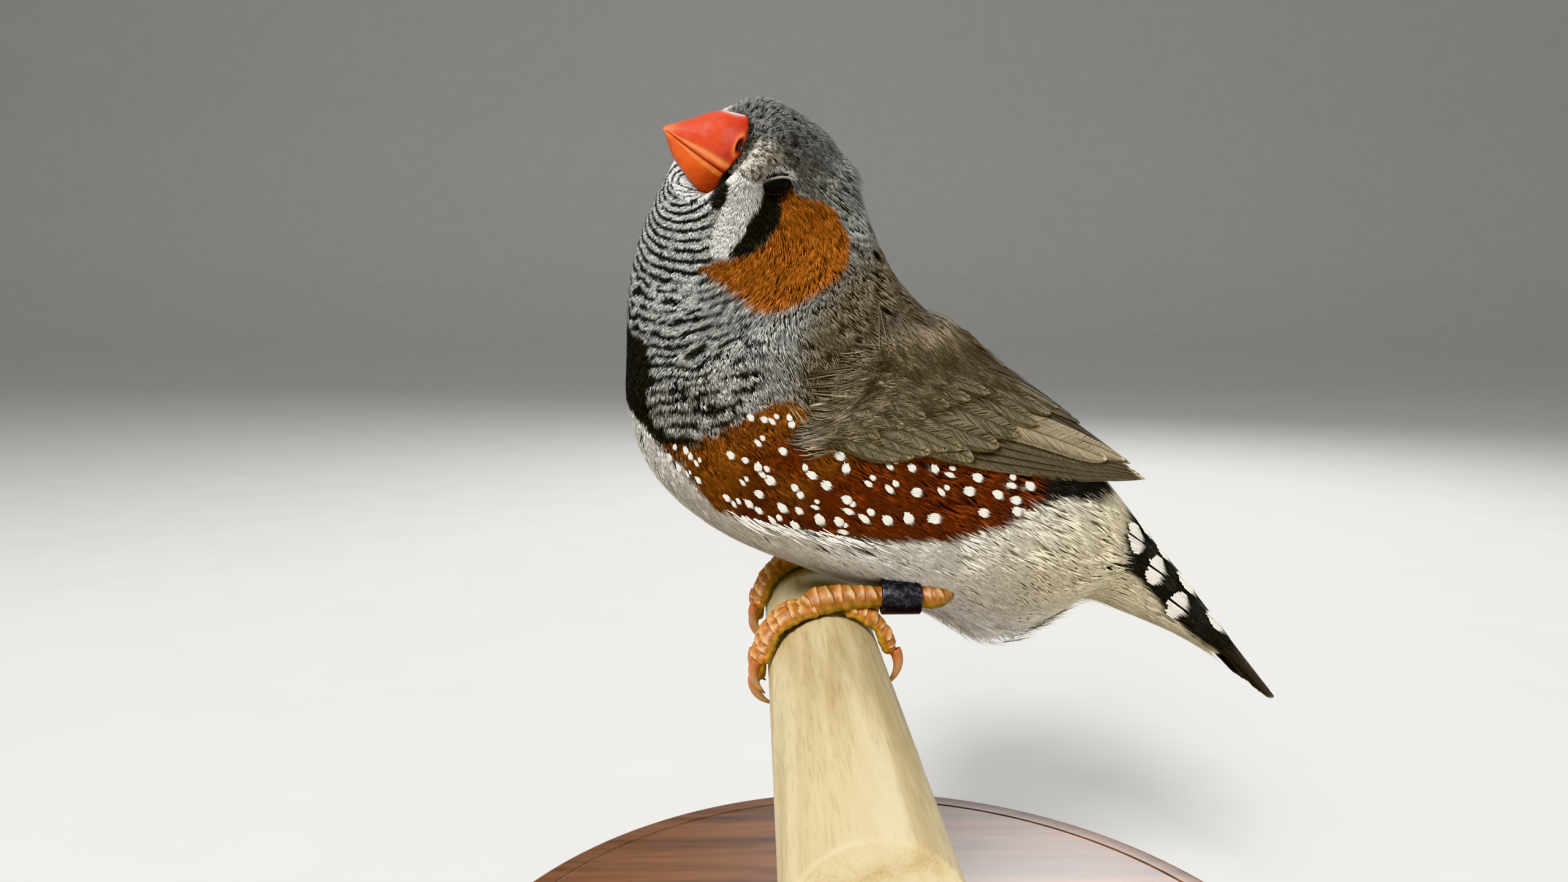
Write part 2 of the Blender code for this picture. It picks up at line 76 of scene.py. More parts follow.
# Camera: full frame lens, and its place from the bird point in millimetres
LENS = 24.96
SENSOR = 36.0
CAMERA_PLACE = np.array([-9.321, -143.571, 45.429])
CAMERA_DOWN = 7.097
CAMERA_SIDE = 1.665


def turn(axis: int, angle: float) -> np.ndarray:
    """Return the matrix of a right-handed turn by degrees about axis 0, 1 or 2."""
    first, second = [(1, 2), (2, 0), (0, 1)][axis]
    c, s = cos(radians(angle)), sin(radians(angle))
    matrix = np.eye(3)
    matrix[first, first] = matrix[second, second] = c
    matrix[first, second] = -s
    matrix[second, first] = s
    return matrix


HEAD_AXES = turn(2, 180.0 + HEAD_TURNS[0]) @ turn(1, -HEAD_TURNS[1]) @ turn(0, HEAD_TURNS[2])


def on_head(point: np.ndarray) -> np.ndarray:
    """Turn a place in the head's own axes, forward, left and up, into the bird's frame."""
    return HEAD_MIDDLE + np.asarray(point, float) @ HEAD_AXES.T


def in_head(point: np.ndarray) -> np.ndarray:
    """Turn a place in the bird's frame into the head's own axes."""
    return (np.asarray(point, float) - HEAD_MIDDLE) @ HEAD_AXES


def linear(code: str) -> tuple[float, float, float]:
    """Turn an sRGB hex colour such as "#7A3512" into linear red, green and blue."""
    values = [int(code[k:k + 2], 16) / 255 for k in (1, 3, 5)]
    return tuple(v / 12.92 if v <= 0.04045 else ((v + 0.055) / 1.055) ** 2.4 for v in values)


def unit(vectors: np.ndarray) -> np.ndarray:
    """Scale vectors along the last axis to length one."""
    return vectors / np.maximum(np.linalg.norm(vectors, axis=-1, keepdims=True), 1e-12)


def smooth(values: np.ndarray) -> np.ndarray:
    """Ease values from 0 to 1 with no corner at either end, and clamp them beyond."""
    t = np.clip(values, 0.0, 1.0)
    return t * t * (3.0 - 2.0 * t)


def mixed(first: np.ndarray, second: np.ndarray, share: np.ndarray) -> np.ndarray:
    """Mix two colours or colour arrays by a share for each row."""
    share = np.asarray(share)[..., None]
    return np.asarray(first) * (1.0 - share) + np.asarray(second) * share


def graded(ends: tuple, share: np.ndarray | float) -> np.ndarray | float:
    """Return the value at a share of the way from the first of two ends to the last."""
    return ends[0] + (ends[1] - ends[0]) * share


def folded(angle: np.ndarray) -> np.ndarray:
    """Return degrees from the back, with the right side's angles past pi folded onto the left's."""
    return np.degrees(np.where(angle > pi, 2 * pi - angle, angle))


def circle(count: int) -> np.ndarray:
    """Return even angles round a full turn, in radians."""
    return np.arange(count) * 2 * pi / count


def read(table: tuple, place: np.ndarray) -> np.ndarray:
    """Read a table of (place, value) rows, blending straight between them."""
    return np.interp(place, *zip(*table))


def through(rows: np.ndarray, place: np.ndarray) -> np.ndarray:
    """Read a Catmull-Rom curve through the rows at fractional row numbers."""
    rows = np.asarray(rows, float)
    last = len(rows) - 1
    place = np.clip(np.asarray(place, float), 0, last)
    start = np.minimum(place.astype(int), last - 1)
    t = place - start
    ends = np.concatenate([[2 * rows[0] - rows[1]], rows, [2 * rows[-1] - rows[-2]]])
    before, here, there, after = (ends[start + step] for step in range(4))
    if rows.ndim > 1:
        t = t[..., None]
    return 0.5 * (2 * here + (there - before) * t
                  + (2 * before - 5 * here + 4 * there - after) * t ** 2
                  + (3 * here - before - 3 * there + after) * t ** 3)


def ripple(points: np.ndarray, size: float, seed: int = 0) -> np.ndarray:
    """Return smooth noise from -1 to 1 at points, with features of about a size.

    Formula: hashed values at the corners of a cubic lattice of that size, blended between the
    corners with an eased weight along each axis.
    """
    place = np.asarray(points, float) / size + 31.7 * seed
    cell = np.floor(place).astype(np.int64)
    ease = smooth(place - cell)
    total = np.zeros(place.shape[:-1])
    for corner in product((0, 1), repeat=3):
        key = ((cell + corner) * (73856093, 19349663, 83492791)).sum(-1) + seed * 7919
        key = (key ^ (key >> 13)) * 1274126177 & 0xFFFFFFFF
        key = (key ^ (key >> 16)) * 73244475 & 0xFFFFFFFF
        weight = np.prod(np.where(corner, ease, 1.0 - ease), axis=-1)
        total += weight * (key / 2.0 ** 31 - 1.0)
    return total


class Build:
    """Puts arrays of points and faces into Blender meshes."""

    @staticmethod
    def piece(name: str, points: np.ndarray, faces: list[np.ndarray], material, slot: str,
              replaces: tuple[str, ...] = (), colours: np.ndarray | None = None,
              unwrap: np.ndarray | None = None, sharp: float = 180.0):
        """Make a finished piece of the model.

        Args:
            name: the object's name.
            points: places in the bird's frame, in millimetres.
            faces: arrays of triangles and quads, as vertex numbers.
            material: its material.
            slot: the record's material slot; not used.
            replaces: the CAD nodes that it stands for.
            colours: a linear colour for each vertex, written as the attribute "tint".
            unwrap: a place for each vertex on the map that bakes use.
            sharp: the angle in degrees past which an edge stays sharp.

        Returns:
            The new object, riding on the body.
        """
        mesh = bpy.data.meshes.new(name)
        places = (np.asarray(points, float) + BIRD_POINT) * MM
        corners = np.concatenate([f.ravel() for f in faces]).astype(np.int32)
        sizes = np.concatenate([np.full(len(f), f.shape[1]) for f in faces])
        mesh.vertices.add(len(places))
        mesh.vertices.foreach_set("co", places.astype(np.float32).ravel())
        mesh.loops.add(len(corners))
        mesh.loops.foreach_set("vertex_index", corners)
        mesh.polygons.add(len(sizes))
        starts = np.concatenate([[0], np.cumsum(sizes)[:-1]]).astype(np.int32)
        mesh.polygons.foreach_set("loop_start", starts)
        if unwrap is not None:
            layer = mesh.uv_layers.new(name="OFBake")
            layer.uv.foreach_set("vector", unwrap[corners].astype(np.float32).ravel())
        if colours is not None:
            rows = np.concatenate([colours, np.ones((len(colours), 1))], axis=1)
            attribute = mesh.color_attributes.new("tint", "FLOAT_COLOR", "POINT")
            attribute.data.foreach_set("color", rows.astype(np.float32).ravel())
        mesh.update(calc_edges=True)
        mesh.shade_smooth()
        if sharp < 180.0:
            mesh.set_sharp_from_angle(angle=radians(sharp))
        mesh.materials.append(material)
        thing = bpy.data.objects.new(name, mesh)
        bpy.context.scene.collection.objects.link(thing)
        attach(thing, BODY)
        if replaces:
            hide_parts(*replaces)
        log.info("%s: %d triangles", name, int((sizes - 2).sum()))
        return thing

    @staticmethod
    def grid(rows: int, columns: int, closed: bool = False, start: int = 0) -> np.ndarray:
        """Return the quads of a grid of points, closed round its columns or open."""
        number = np.arange(rows * columns).reshape(rows, columns) + start
        after = np.roll(number, -1, axis=1)
        if not closed:
            number, after = number[:, :-1], after[:, :-1]
        quads = np.stack([number[:-1], after[:-1], after[1:], number[1:]], -1)
        return quads.reshape(-1, 4)

    @staticmethod
    def loft(rings: np.ndarray) -> tuple[np.ndarray, list[np.ndarray]]:
        """Close rings of points into a solid, with a fan over each end and its faces outward.

        Args:
            rings: points of shape (rings, points, 3).

        Returns:
            The points and the faces.
        """
        rows, count = rings.shape[:2]
        points = np.concatenate([rings.reshape(-1, 3), rings[0].mean(0)[None], rings[-1].mean(0)[None]])
        first = np.arange(count)
        last = first + (rows - 1) * count
        start_fan = np.stack([np.roll(first, -1), first, np.full(count, rows * count)], -1)
        end_fan = np.stack([last, np.roll(last, -1), np.full(count, rows * count + 1)], -1)
        return points, Build.outward(points, [Build.grid(rows, count, closed=True), start_fan, end_fan])

    @staticmethod
    def hoop(rings: np.ndarray) -> tuple[np.ndarray, list[np.ndarray]]:
        """Join rings of points into a hoop closed both ways, with its faces outward.

        Args:
            rings: points of shape (rings, points, 3).

        Returns:
            The points and the faces.
        """
        rows, count = rings.shape[:2]
        points = rings.reshape(-1, 3)
        first = np.arange(count)
        last = first + (rows - 1) * count
        seam = np.stack([last, np.roll(last, -1), np.roll(first, -1), first], -1)
        return points, Build.outward(points, [np.concatenate([Build.grid(rows, count, closed=True), seam])])

    @staticmethod
    def outward(points: np.ndarray, faces: list[np.ndarray]) -> list[np.ndarray]:
        """Return a closed solid's faces, turned over if its volume comes out negative."""
        corners = points - points.mean(0)
        volume = 0.0
        for f in faces:
            for k in range(1, f.shape[1] - 1):
                square = np.cross(corners[f[:, k]], corners[f[:, k + 1]])
                volume += np.einsum("ij,ij->", corners[f[:, 0]], square)
        return Build.facing(faces, 1 if volume > 0 else -1)

    @staticmethod
    def facing(faces: list[np.ndarray], side: int) -> list[np.ndarray]:
        """Return faces as they are for side 1, or turned over for side -1."""
        return faces if side > 0 else [f[:, ::-1] for f in faces]

    @staticmethod
    def capped(values: np.ndarray) -> np.ndarray:
        """Return a loft's values by the point as rows, with two more rows for its end points."""
        rows = values.reshape(-1, values.shape[-1])
        return np.concatenate([rows, rows[:1], rows[-1:]])

    @staticmethod
    def sheet(outer: np.ndarray, inner: np.ndarray, *values: np.ndarray) -> tuple:
        """Close two grids of points into a thin solid.

        Args:
            outer: points of shape (rows, columns, 3).
            inner: the points under them.
            values: for each kind of value, one for each outer point.

        Returns:
            The points, the faces and each kind of value for all points.
        """
        points, faces = Build.loft(np.concatenate([outer, inner[:, ::-1]], 1))
        doubled = (np.concatenate([rows, rows[:, ::-1]], 1) for rows in values)
        return (points, faces, *(Build.capped(rows) for rows in doubled))

    @staticmethod
    def joined(solids: list[tuple]) -> tuple[np.ndarray, list[np.ndarray], list[np.ndarray]]:
        """Put solids together as one.

        Args:
            solids: for each, its points, its faces and then any values by the point.

        Returns:
            All points, all faces, and each kind of value for all points.
        """
        starts = np.cumsum([0] + [len(solid[0]) for solid in solids])
        faces = [f + start for solid, start in zip(solids, starts) for f in solid[1]]
        values = [np.concatenate(rows) for rows in zip(*(solid[2:] for solid in solids))]
        return np.concatenate([solid[0] for solid in solids]), faces, values

    @staticmethod
    def tube(path: np.ndarray, radius: np.ndarray, up: np.ndarray) -> tuple[np.ndarray, list[np.ndarray]]:
        """Make a closed tube.

        Args:
            path: points along its middle, shape (rows, 3).
            radius: its radius by row and by angle from the top over the left, shape (rows, sides).
            up: which way is up at each point.

        Returns:
            The points and the faces.
        """
        way = unit(np.gradient(path, axis=0))
        up = unit(up - (up * way).sum(-1, keepdims=True) * way)
        side = np.cross(way, up)
        angle = circle(radius.shape[1])
        ring = up[:, None] * np.cos(angle)[None, :, None] + side[:, None] * np.sin(angle)[None, :, None]
        return Build.loft(path[:, None] + ring * radius[:, :, None])


class Strands:
    """Gathers thin closed blades and turns them into pieces of the coat.

    A blade has a root ring and a middle ring of three points each, left edge, raised ridge and
    right edge, and ends in one tip point, so it has ten triangles.
    """

    RIDGE = 0.45
    PATCH = 0.003
    CORNERS = np.array([(0, 1, 4), (0, 4, 3), (1, 2, 5), (1, 5, 4), (2, 0, 3), (2, 3, 5),
                        (3, 4, 6), (4, 5, 6), (5, 3, 6), (0, 2, 1)])
    PATCH_PLACES = np.array([(-0.5, -0.5), (0.0, -0.5), (0.5, -0.5), (-0.5, 0.0), (0.0, 0.0),
                             (0.5, 0.0), (0.0, 0.5)])

    def __init__(self) -> None:
        """Start with no blades."""
        self.points: list[np.ndarray] = []
        self.tints: list[np.ndarray] = []
        self.roots: list[np.ndarray] = []

    def add(self, path: np.ndarray, normal: np.ndarray, half_width: np.ndarray, tint: np.ndarray,
            root: np.ndarray, ridge: np.ndarray | float = RIDGE) -> None:
        """Add blades.

        Args:
            path: root, middle and tip of each blade, shape (blades, 3, 3).
            normal: the surface normal at each blade, shape (blades, 3).
            half_width: half widths at the root and middle, shape (blades, 2).
            tint: linear colours at root, middle and tip, shape (blades, 3, 3).
            root: the place of each root on the unwrap, shape (blades, 2).
            ridge: the ridge's height in half widths, one for all or shape (blades, 1).
        """
        root_side = unit(np.cross(normal, path[:, 1] - path[:, 0])) * half_width[:, :1]
        middle_side = unit(np.cross(normal, path[:, 2] - path[:, 0])) * half_width[:, 1:]
        root_ridge = normal * half_width[:, :1] * ridge
        middle_ridge = normal * half_width[:, 1:] * ridge
        start, middle, tip = path[:, 0], path[:, 1], path[:, 2]
        self.points.append(np.stack([start + root_side, start + root_ridge, start - root_side,
                                     middle + middle_side, middle + middle_ridge,
                                     middle - middle_side, tip], axis=1))
        self.tints.append(tint[:, (0, 0, 0, 1, 1, 1, 2)])
        self.roots.append(root)

    def piece(self, name: str, material, slot: str) -> None:
        """Make a piece of the coat of all blades."""
        points, faces, tints, places = self.arrays()
        Build.piece(name, points, [faces], material, slot, (), tints, places)

    def arrays(self) -> tuple[np.ndarray, np.ndarray, np.ndarray, np.ndarray]:
        """Return the points, triangles, colours and bake places of all blades."""
        points = np.concatenate(self.points)
        tints = np.concatenate(self.tints)
        roots = np.concatenate(self.roots)
        faces = (np.arange(len(points))[:, None, None] * 7 + self.CORNERS).reshape(-1, 3)
        places = roots[:, None] + self.PATCH_PLACES * self.PATCH
        return points.reshape(-1, 3), faces, tints.reshape(-1, 3), places.reshape(-1, 2)


def wire(tree, made, **sockets) -> None:
    """Fill a node's inputs.

    Args:
        tree: the node tree.
        made: the node.
        sockets: a value or an output socket for each input, by its name with _ for a space, or by n
            and its number.
    """
    for key, value in sockets.items():
        name = key.replace("_", " ")
        socket = made.inputs[int(name[1:]) if name[0] == "n" and name[1:].isdigit() else name]
        if isinstance(value, bpy.types.NodeSocket):
            tree.links.new(value, socket)
        else:
            socket.default_value = value


def node(tree, kind: str, settings: dict | None = None, **sockets):
    """Add a shader node.

    Args:
        tree: the node tree.
        kind: the node's type name without "ShaderNode".
        settings: the node's own properties.
        sockets: what wire takes.

    Returns:
        The new node.
    """
    made = tree.nodes.new("ShaderNode" + kind)
    for key, value in (settings or {}).items():
        setattr(made, key, value)
    wire(tree, made, **sockets)
    return made


class Surface:
    """A new material's tree and shader, with the groups of nodes that the finishes share."""

    NOISE_SPAN = (0.3, 0.7)

    def __init__(self, name: str) -> None:
        """Make the material, with nothing but a shader in its tree."""
        self.material = bpy.data.materials.new(name)
        self.material.use_nodes = True
        self.tree = self.material.node_tree
        self.tree.nodes.clear()
        self.shader = node(self.tree, "BsdfPrincipled")
        node(self.tree, "OutputMaterial", Surface=self.shader.outputs["BSDF"])
        self.place = node(self.tree, "TexCoord").outputs["Object"]

    def fill(self, **sockets) -> None:
        """Fill inputs of the shader."""
        wire(self.tree, self.shader, **sockets)

    def tint(self):
        """Return the colour that the piece carries."""
        return node(self.tree, "Attribute", {"attribute_name": "tint"}).outputs["Color"]

    def mapped(self, **sockets):
        """Return the object place, turned or stretched."""
        return node(self.tree, "Mapping", Vector=self.place, **sockets).outputs["Vector"]

    def noise(self, size: float, detail: float, place=None, **sockets):
        """Return noise with features of a size in millimetres."""
        place = self.place if place is None else place
        made = node(self.tree, "TexNoise", Vector=place, Scale=1 / (size * MM), Detail=detail, **sockets)
        return made.outputs["Fac"]

    def ranged(self, value, before: tuple[float, float], after: tuple[float, float]):
        """Return a value with one span stretched or moved to another."""
        made = node(self.tree, "MapRange", Value=value, From_Min=before[0], From_Max=before[1],
                    To_Min=after[0], To_Max=after[1])
        return made.outputs["Result"]

    def ramp(self, value, *stops: tuple[float, str]):
        """Return a colour that goes with a value from the first stop's to the last's."""
        made = node(self.tree, "ValToRGB", Fac=value)
        for element, (position, code) in zip(made.color_ramp.elements, stops):
            element.position = position
            element.color = (*linear(code), 1.0)
        return made.outputs["Color"]

    def coloured(self, colour, level) -> None:
        """Give the shader a colour, lighter or darker by a level."""
        made = node(self.tree, "VectorMath", {"operation": "SCALE"}, n0=colour, Scale=level)
        self.fill(Base_Color=made.outputs["Vector"])

    def raised(self, height, strength: float, depth: float) -> None:
        """Give the shader bumps from a height, with their depth in millimetres."""
        made = node(self.tree, "Bump", Height=height, Strength=strength, Distance=depth * MM)
        self.fill(Normal=made.outputs["Normal"])


@dataclass(frozen=True)
class Feather:
    """Plumage: keratin barbs, dry and slightly silky, coloured by the piece's own tint."""

    name: str = "finch_plumage"
    roughness: float = 0.7
    specular: float = 0.16
    sheen: float = 0.03
    mottle: float = 0.14
    mottle_size: float = 0.35

    def make(self):
        """Make the material: the tint with a fine mottle, lighter and darker by a little."""
        made = Surface(self.name)
        noise = made.noise(self.mottle_size, 2.0)
        made.coloured(made.tint(), made.ranged(noise, made.NOISE_SPAN, (1 - self.mottle, 1 + self.mottle)))
        made.fill(Roughness=self.roughness, Specular_IOR_Level=self.specular,
                  Sheen_Weight=self.sheen, Sheen_Roughness=0.5)
        return made.material


@dataclass(frozen=True)
class Horn:
    """Bill or claw horn: a waxy keratin sheath, polished by use, coloured by the piece's tint."""

    name: str
    roughness: float
    coat: float
    scratch: float
    subsurface: float
    cloud_size: float = 1.1
    scratch_size: float = 1.6

    def make(self):
        """Make the material: soft light under the skin of the horn, fine scratches and a thin gloss."""
        made = Surface(self.name)
        cloud = made.noise(self.cloud_size, 4.0)
        made.coloured(made.tint(), made.ranged(cloud, made.NOISE_SPAN, (0.88, 1.1)))
        lines = made.noise(self.scratch_size, 6.0, made.mapped(Rotation=(0.4, 0.2, 0.6), Scale=(1, 5, 3)))
        made.raised(lines, self.scratch, 0.06)
        gloss = made.ranged(lines, (0.35, 0.65), (self.roughness * 0.8, self.roughness * 1.3))
        made.fill(Roughness=gloss, IOR=1.54, Specular_IOR_Level=0.35, Coat_Weight=self.coat,
                  Coat_Roughness=0.12, Subsurface_Weight=self.subsurface,
                  Subsurface_Radius=(0.9, 0.35, 0.15), Subsurface_Scale=0.5 * MM)
        return made.material


@dataclass(frozen=True)
class WetEye:
    """A dark living eye: a clear wet cornea over a brown iris and a black pupil, by the tint."""

    name: str = "finch_eye_wet"

    def make(self):
        """Make the material: the tint under a smooth wet surface."""
        made = Surface(self.name)
        made.fill(Base_Color=made.tint(), Roughness=0.05, IOR=1.38, Specular_IOR_Level=0.35)
        return made.material


@dataclass(frozen=True)
class ScaledSkin:
    """Bare leg or lid skin: soft horny scales with dry wrinkles, coloured by the piece's tint."""

    name: str = "finch_scaled_skin"
    wrinkle: float = 0.22
    cloud_size: float = 0.5
    grain_size: float = 0.12

    def make(self):
        """Make the material: a waxy skin with wrinkles a fraction of a millimetre apart."""
        made = Surface(self.name)
        cloud = made.noise(self.cloud_size, 4.0)
        made.coloured(made.tint(), made.ranged(cloud, made.NOISE_SPAN, (0.8, 1.15)))
        cells = node(made.tree, "TexVoronoi", {"feature": "DISTANCE_TO_EDGE"}, Vector=made.place,
                     Scale=1 / (self.wrinkle * MM))
        height = node(made.tree, "Math", {"operation": "MULTIPLY_ADD"}, n0=cells.outputs["Distance"],
                      n1=1.5, n2=made.noise(self.grain_size, 3.0))
        made.raised(height.outputs["Value"], 0.5, 0.05)
        made.fill(Roughness=0.42, Specular_IOR_Level=0.45, Subsurface_Weight=0.25,
                  Subsurface_Radius=(0.8, 0.3, 0.12), Subsurface_Scale=0.5 * MM)
        return made.material


@dataclass(frozen=True)
class Anodised:
    """Black anodised aluminium of a closed leg ring: satin, with paler scuffs."""

    name: str = "ring_black_anodised"
    black: str = "#17171A"
    scuffed: str = "#4A4A50"

    def make(self):
        """Make the material: near black with faint wear from fine noise."""
        made = Surface(self.name)
        wear = made.noise(0.4, 6.0)
        made.raised(wear, 0.25, 0.02)
        made.fill(Base_Color=made.ramp(wear, (0.45, self.black), (0.8, self.scuffed)),
                  Roughness=0.38, Metallic=0.35)
        return made.material


@dataclass(frozen=True)
class Wood:
    """Wood with its grain along one axis: sanded bare beech, or walnut under satin varnish."""

    name: str
    light: str
    dark: str
    grain_axis: int
    grain_width: float
    roughness: float
    coat: float
    pores: float
    grain_stretch: float = 0.06
    pore_size: float = 0.25

    def make(self):
        """Make the material: bands of grain drawn out along the axis, with fine pores."""
        made = Surface(self.name)
        scale = [1.0, 1.0, 1.0]
        scale[self.grain_axis] = self.grain_stretch
        along = made.mapped(Scale=tuple(scale))
        bands = made.noise(self.grain_width, 5.0, along, Distortion=0.6)
        flecks = made.noise(self.pore_size, 3.0, along)
        made.coloured(made.ramp(bands, (0.32, self.dark), (0.62, self.light)),
                      made.ranged(flecks, (0.28, 0.5), (1 - self.pores, 1.0)))
        made.raised(flecks, 0.3, 0.05)
        made.fill(Roughness=self.roughness, Coat_Weight=self.coat, Coat_Roughness=0.2)
        return made.material


@dataclass(frozen=True)
class BrushedSteel:
    """Steel rod, drawn and brushed along its length."""

    name: str = "rod_brushed_steel"
    colour: str = "#C9C8C4"

    def make(self):
        """Make the material: metal with fine vertical brush lines."""
        made = Surface(self.name)
        lines = made.noise(0.12, 3.0, made.mapped(Scale=(1.0, 1.0, 0.03)))
        made.raised(lines, 0.2, 0.01)
        made.fill(Base_Color=(*linear(self.colour), 1.0), Metallic=1.0,
                  Roughness=made.ranged(lines, (0.0, 1.0), (0.22, 0.42)))
        return made.material


@dataclass(frozen=True)
class MattPaper:
    """Seamless background paper: flat and pale."""

    name: str = "studio_paper"
    dark: str = "#B4B3B0"
    light: str = "#BCBBB8"

    def make(self):
        """Make the material: one pale colour with a faint mottle."""
        made = Surface(self.name)
        noise = made.noise(25.0, 2.0)
        made.fill(Base_Color=made.ramp(noise, (0.0, self.dark), (1.0, self.light)), Roughness=0.9)
        return made.material


class Carpet:
    """A surface of two parameters read from a fine table, with its frame at each place.

    For a place (a, b) it gives the point, the unit direction of growing a (along), the unit
    direction of growing b square to it (across), the outward normal, and how many millimetres a
    step of each parameter covers.
    """

    # Columns of the table: the frame's vectors, then the reach of each parameter and the slip of b
    # along the direction of a
    POINT, ALONG, ACROSS, NORMAL = slice(0, 3), slice(3, 6), slice(6, 9), slice(9, 12)
    REACH_A, REACH_B, SLIP = 12, 13, 14
    SOW_GRID = (800, 640)
    LEAST_REACH = 0.3

    def __init__(self, points: np.ndarray, a_range: tuple[float, float],
                 b_range: tuple[float, float], outward: np.ndarray) -> None:
        """Make the table.

        Args:
            points: the surface's points on an even grid, shape (a, b, 3).
            a_range: the first and last a.
            b_range: the first and last b.
            outward: a rough outward direction at each point, to give the normal its sign.
        """
        self.a_range, self.b_range = a_range, b_range
        step_a = (a_range[1] - a_range[0]) / (points.shape[0] - 1)
        step_b = (b_range[1] - b_range[0]) / (points.shape[1] - 1)
        by_a = np.gradient(points, step_a, axis=0)
        by_b = np.gradient(points, step_b, axis=1)
        along = unit(by_a)
        normal = unit(np.cross(by_a, by_b))
        normal *= np.sign((normal * outward).sum(-1, keepdims=True))
        slip = (by_b * along).sum(-1, keepdims=True)
        across = unit(by_b - slip * along)
        reach_a = np.linalg.norm(by_a, axis=-1, keepdims=True)
        reach_b = (by_b * across).sum(-1, keepdims=True)
        self.table = np.concatenate([points, along, across, normal, reach_a, reach_b, slip], -1)

    def sample(self, a: np.ndarray, b: np.ndarray) -> np.ndarray:
        """Read all fields at places, by straight blending between table points."""
        rows, columns = self.table.shape[:2]
        x = (np.asarray(a) - self.a_range[0]) / (self.a_range[1] - self.a_range[0]) * (rows - 1)
        y = (np.asarray(b) - self.b_range[0]) / (self.b_range[1] - self.b_range[0]) * (columns - 1)
        x, y = np.broadcast_arrays(np.clip(x, 0, rows - 1.001), np.clip(y, 0, columns - 1.001))
        i, j = x.astype(int), y.astype(int)
        u, v = (x - i)[..., None], (y - j)[..., None]
        table = self.table
        return ((table[i, j] * (1 - v) + table[i, j + 1] * v) * (1 - u)
                + (table[i + 1, j] * (1 - v) + table[i + 1, j + 1] * v) * u)

    def at(self, a: np.ndarray, b: np.ndarray, height: np.ndarray | float = 0.0) -> np.ndarray:
        """Return points at a height over the surface."""
        fields = self.sample(a, b)
        return fields[..., self.POINT] + fields[..., self.NORMAL] * np.asarray(height)[..., None]

    def path(self, ends: list[tuple], heights: np.ndarray) -> np.ndarray:
        """Return paths through places at heights over the surface, shape (paths, places, 3)."""
        a, b = (np.stack(values) for values in zip(*ends))
        return self.at(a, b, heights).transpose(1, 0, 2)

    def normal(self, a: np.ndarray, b: np.ndarray) -> np.ndarray:
        """Return the outward normals."""
        return self.sample(a, b)[..., self.NORMAL]

    def walk(self, a: np.ndarray, b: np.ndarray, along: np.ndarray,
             across: np.ndarray) -> tuple[np.ndarray, np.ndarray]:
        """Step from places by millimetres along and across, and return the new places."""
        fields = self.sample(a, b)
        reach_a, reach_b = (fields[..., k] for k in (self.REACH_A, self.REACH_B))
        step_b = across / np.maximum(reach_b, self.LEAST_REACH)
        step_a = (along - step_b * fields[..., self.SLIP]) / np.maximum(reach_a, self.LEAST_REACH)
        return a + step_a, b + step_b

    def heading(self, a: np.ndarray, b: np.ndarray, way: np.ndarray) -> np.ndarray:
        """Return the angle, from along towards across, of a direction in the bird's frame."""
        fields = self.sample(a, b)
        across, along = fields[..., self.ACROSS], fields[..., self.ALONG]
        return np.arctan2((across * way).sum(-1), (along * way).sum(-1))

    def go(self, a: np.ndarray, b: np.ndarray, heading: np.ndarray,
           away: np.ndarray) -> tuple[np.ndarray, np.ndarray]:
        """Step from places by millimetres in a heading, and return the new places."""
        return self.walk(a, b, away * np.cos(heading), away * np.sin(heading))

    def sow(self, a_span: tuple, b_span: tuple, density: Callable,
            rng: np.random.Generator) -> tuple[np.ndarray, np.ndarray]:
        """Scatter places over part of the surface.

        Args:
            a_span: the first and last a.
            b_span: the first and last b.
            density: gives the places to a square millimetre at (a, b).
            rng: the source of the draws.

        Returns:
            The places.
        """
        rows, columns = self.SOW_GRID
        step_a = (a_span[1] - a_span[0]) / rows
        step_b = (b_span[1] - b_span[0]) / columns
        a, b = np.meshgrid(a_span[0] + (np.arange(rows) + 0.5) * step_a,
                           b_span[0] + (np.arange(columns) + 0.5) * step_b, indexing="ij")
        fields = self.sample(a, b)
        area = fields[..., self.REACH_A] * np.abs(fields[..., self.REACH_B]) * step_a * step_b
        total = np.cumsum((area * density(a, b)).ravel())
        count = int(total[-1])
        chosen = np.searchsorted(total, (np.arange(count) + rng.random(count)) / count * total[-1])
        chosen = np.minimum(chosen, a.size - 1)
        return (a.ravel()[chosen] + (rng.random(count) - 0.5) * step_a,
                b.ravel()[chosen] + (rng.random(count) - 0.5) * step_b)


class Grown(NamedTuple):
    """Strands as grown: root places, paths, normals, half widths, tints, unwrapped roots and ridges."""

    a: np.ndarray
    b: np.ndarray
    path: np.ndarray
    normal: np.ndarray
    widths: np.ndarray
    tint: np.ndarray
    place: np.ndarray
    ridge: np.ndarray
    tip: tuple

    def only(self, mine: np.ndarray) -> tuple:
        """Return what Strands.add takes, for the chosen strands."""
        return tuple(values[mine] for values in self[2:8])


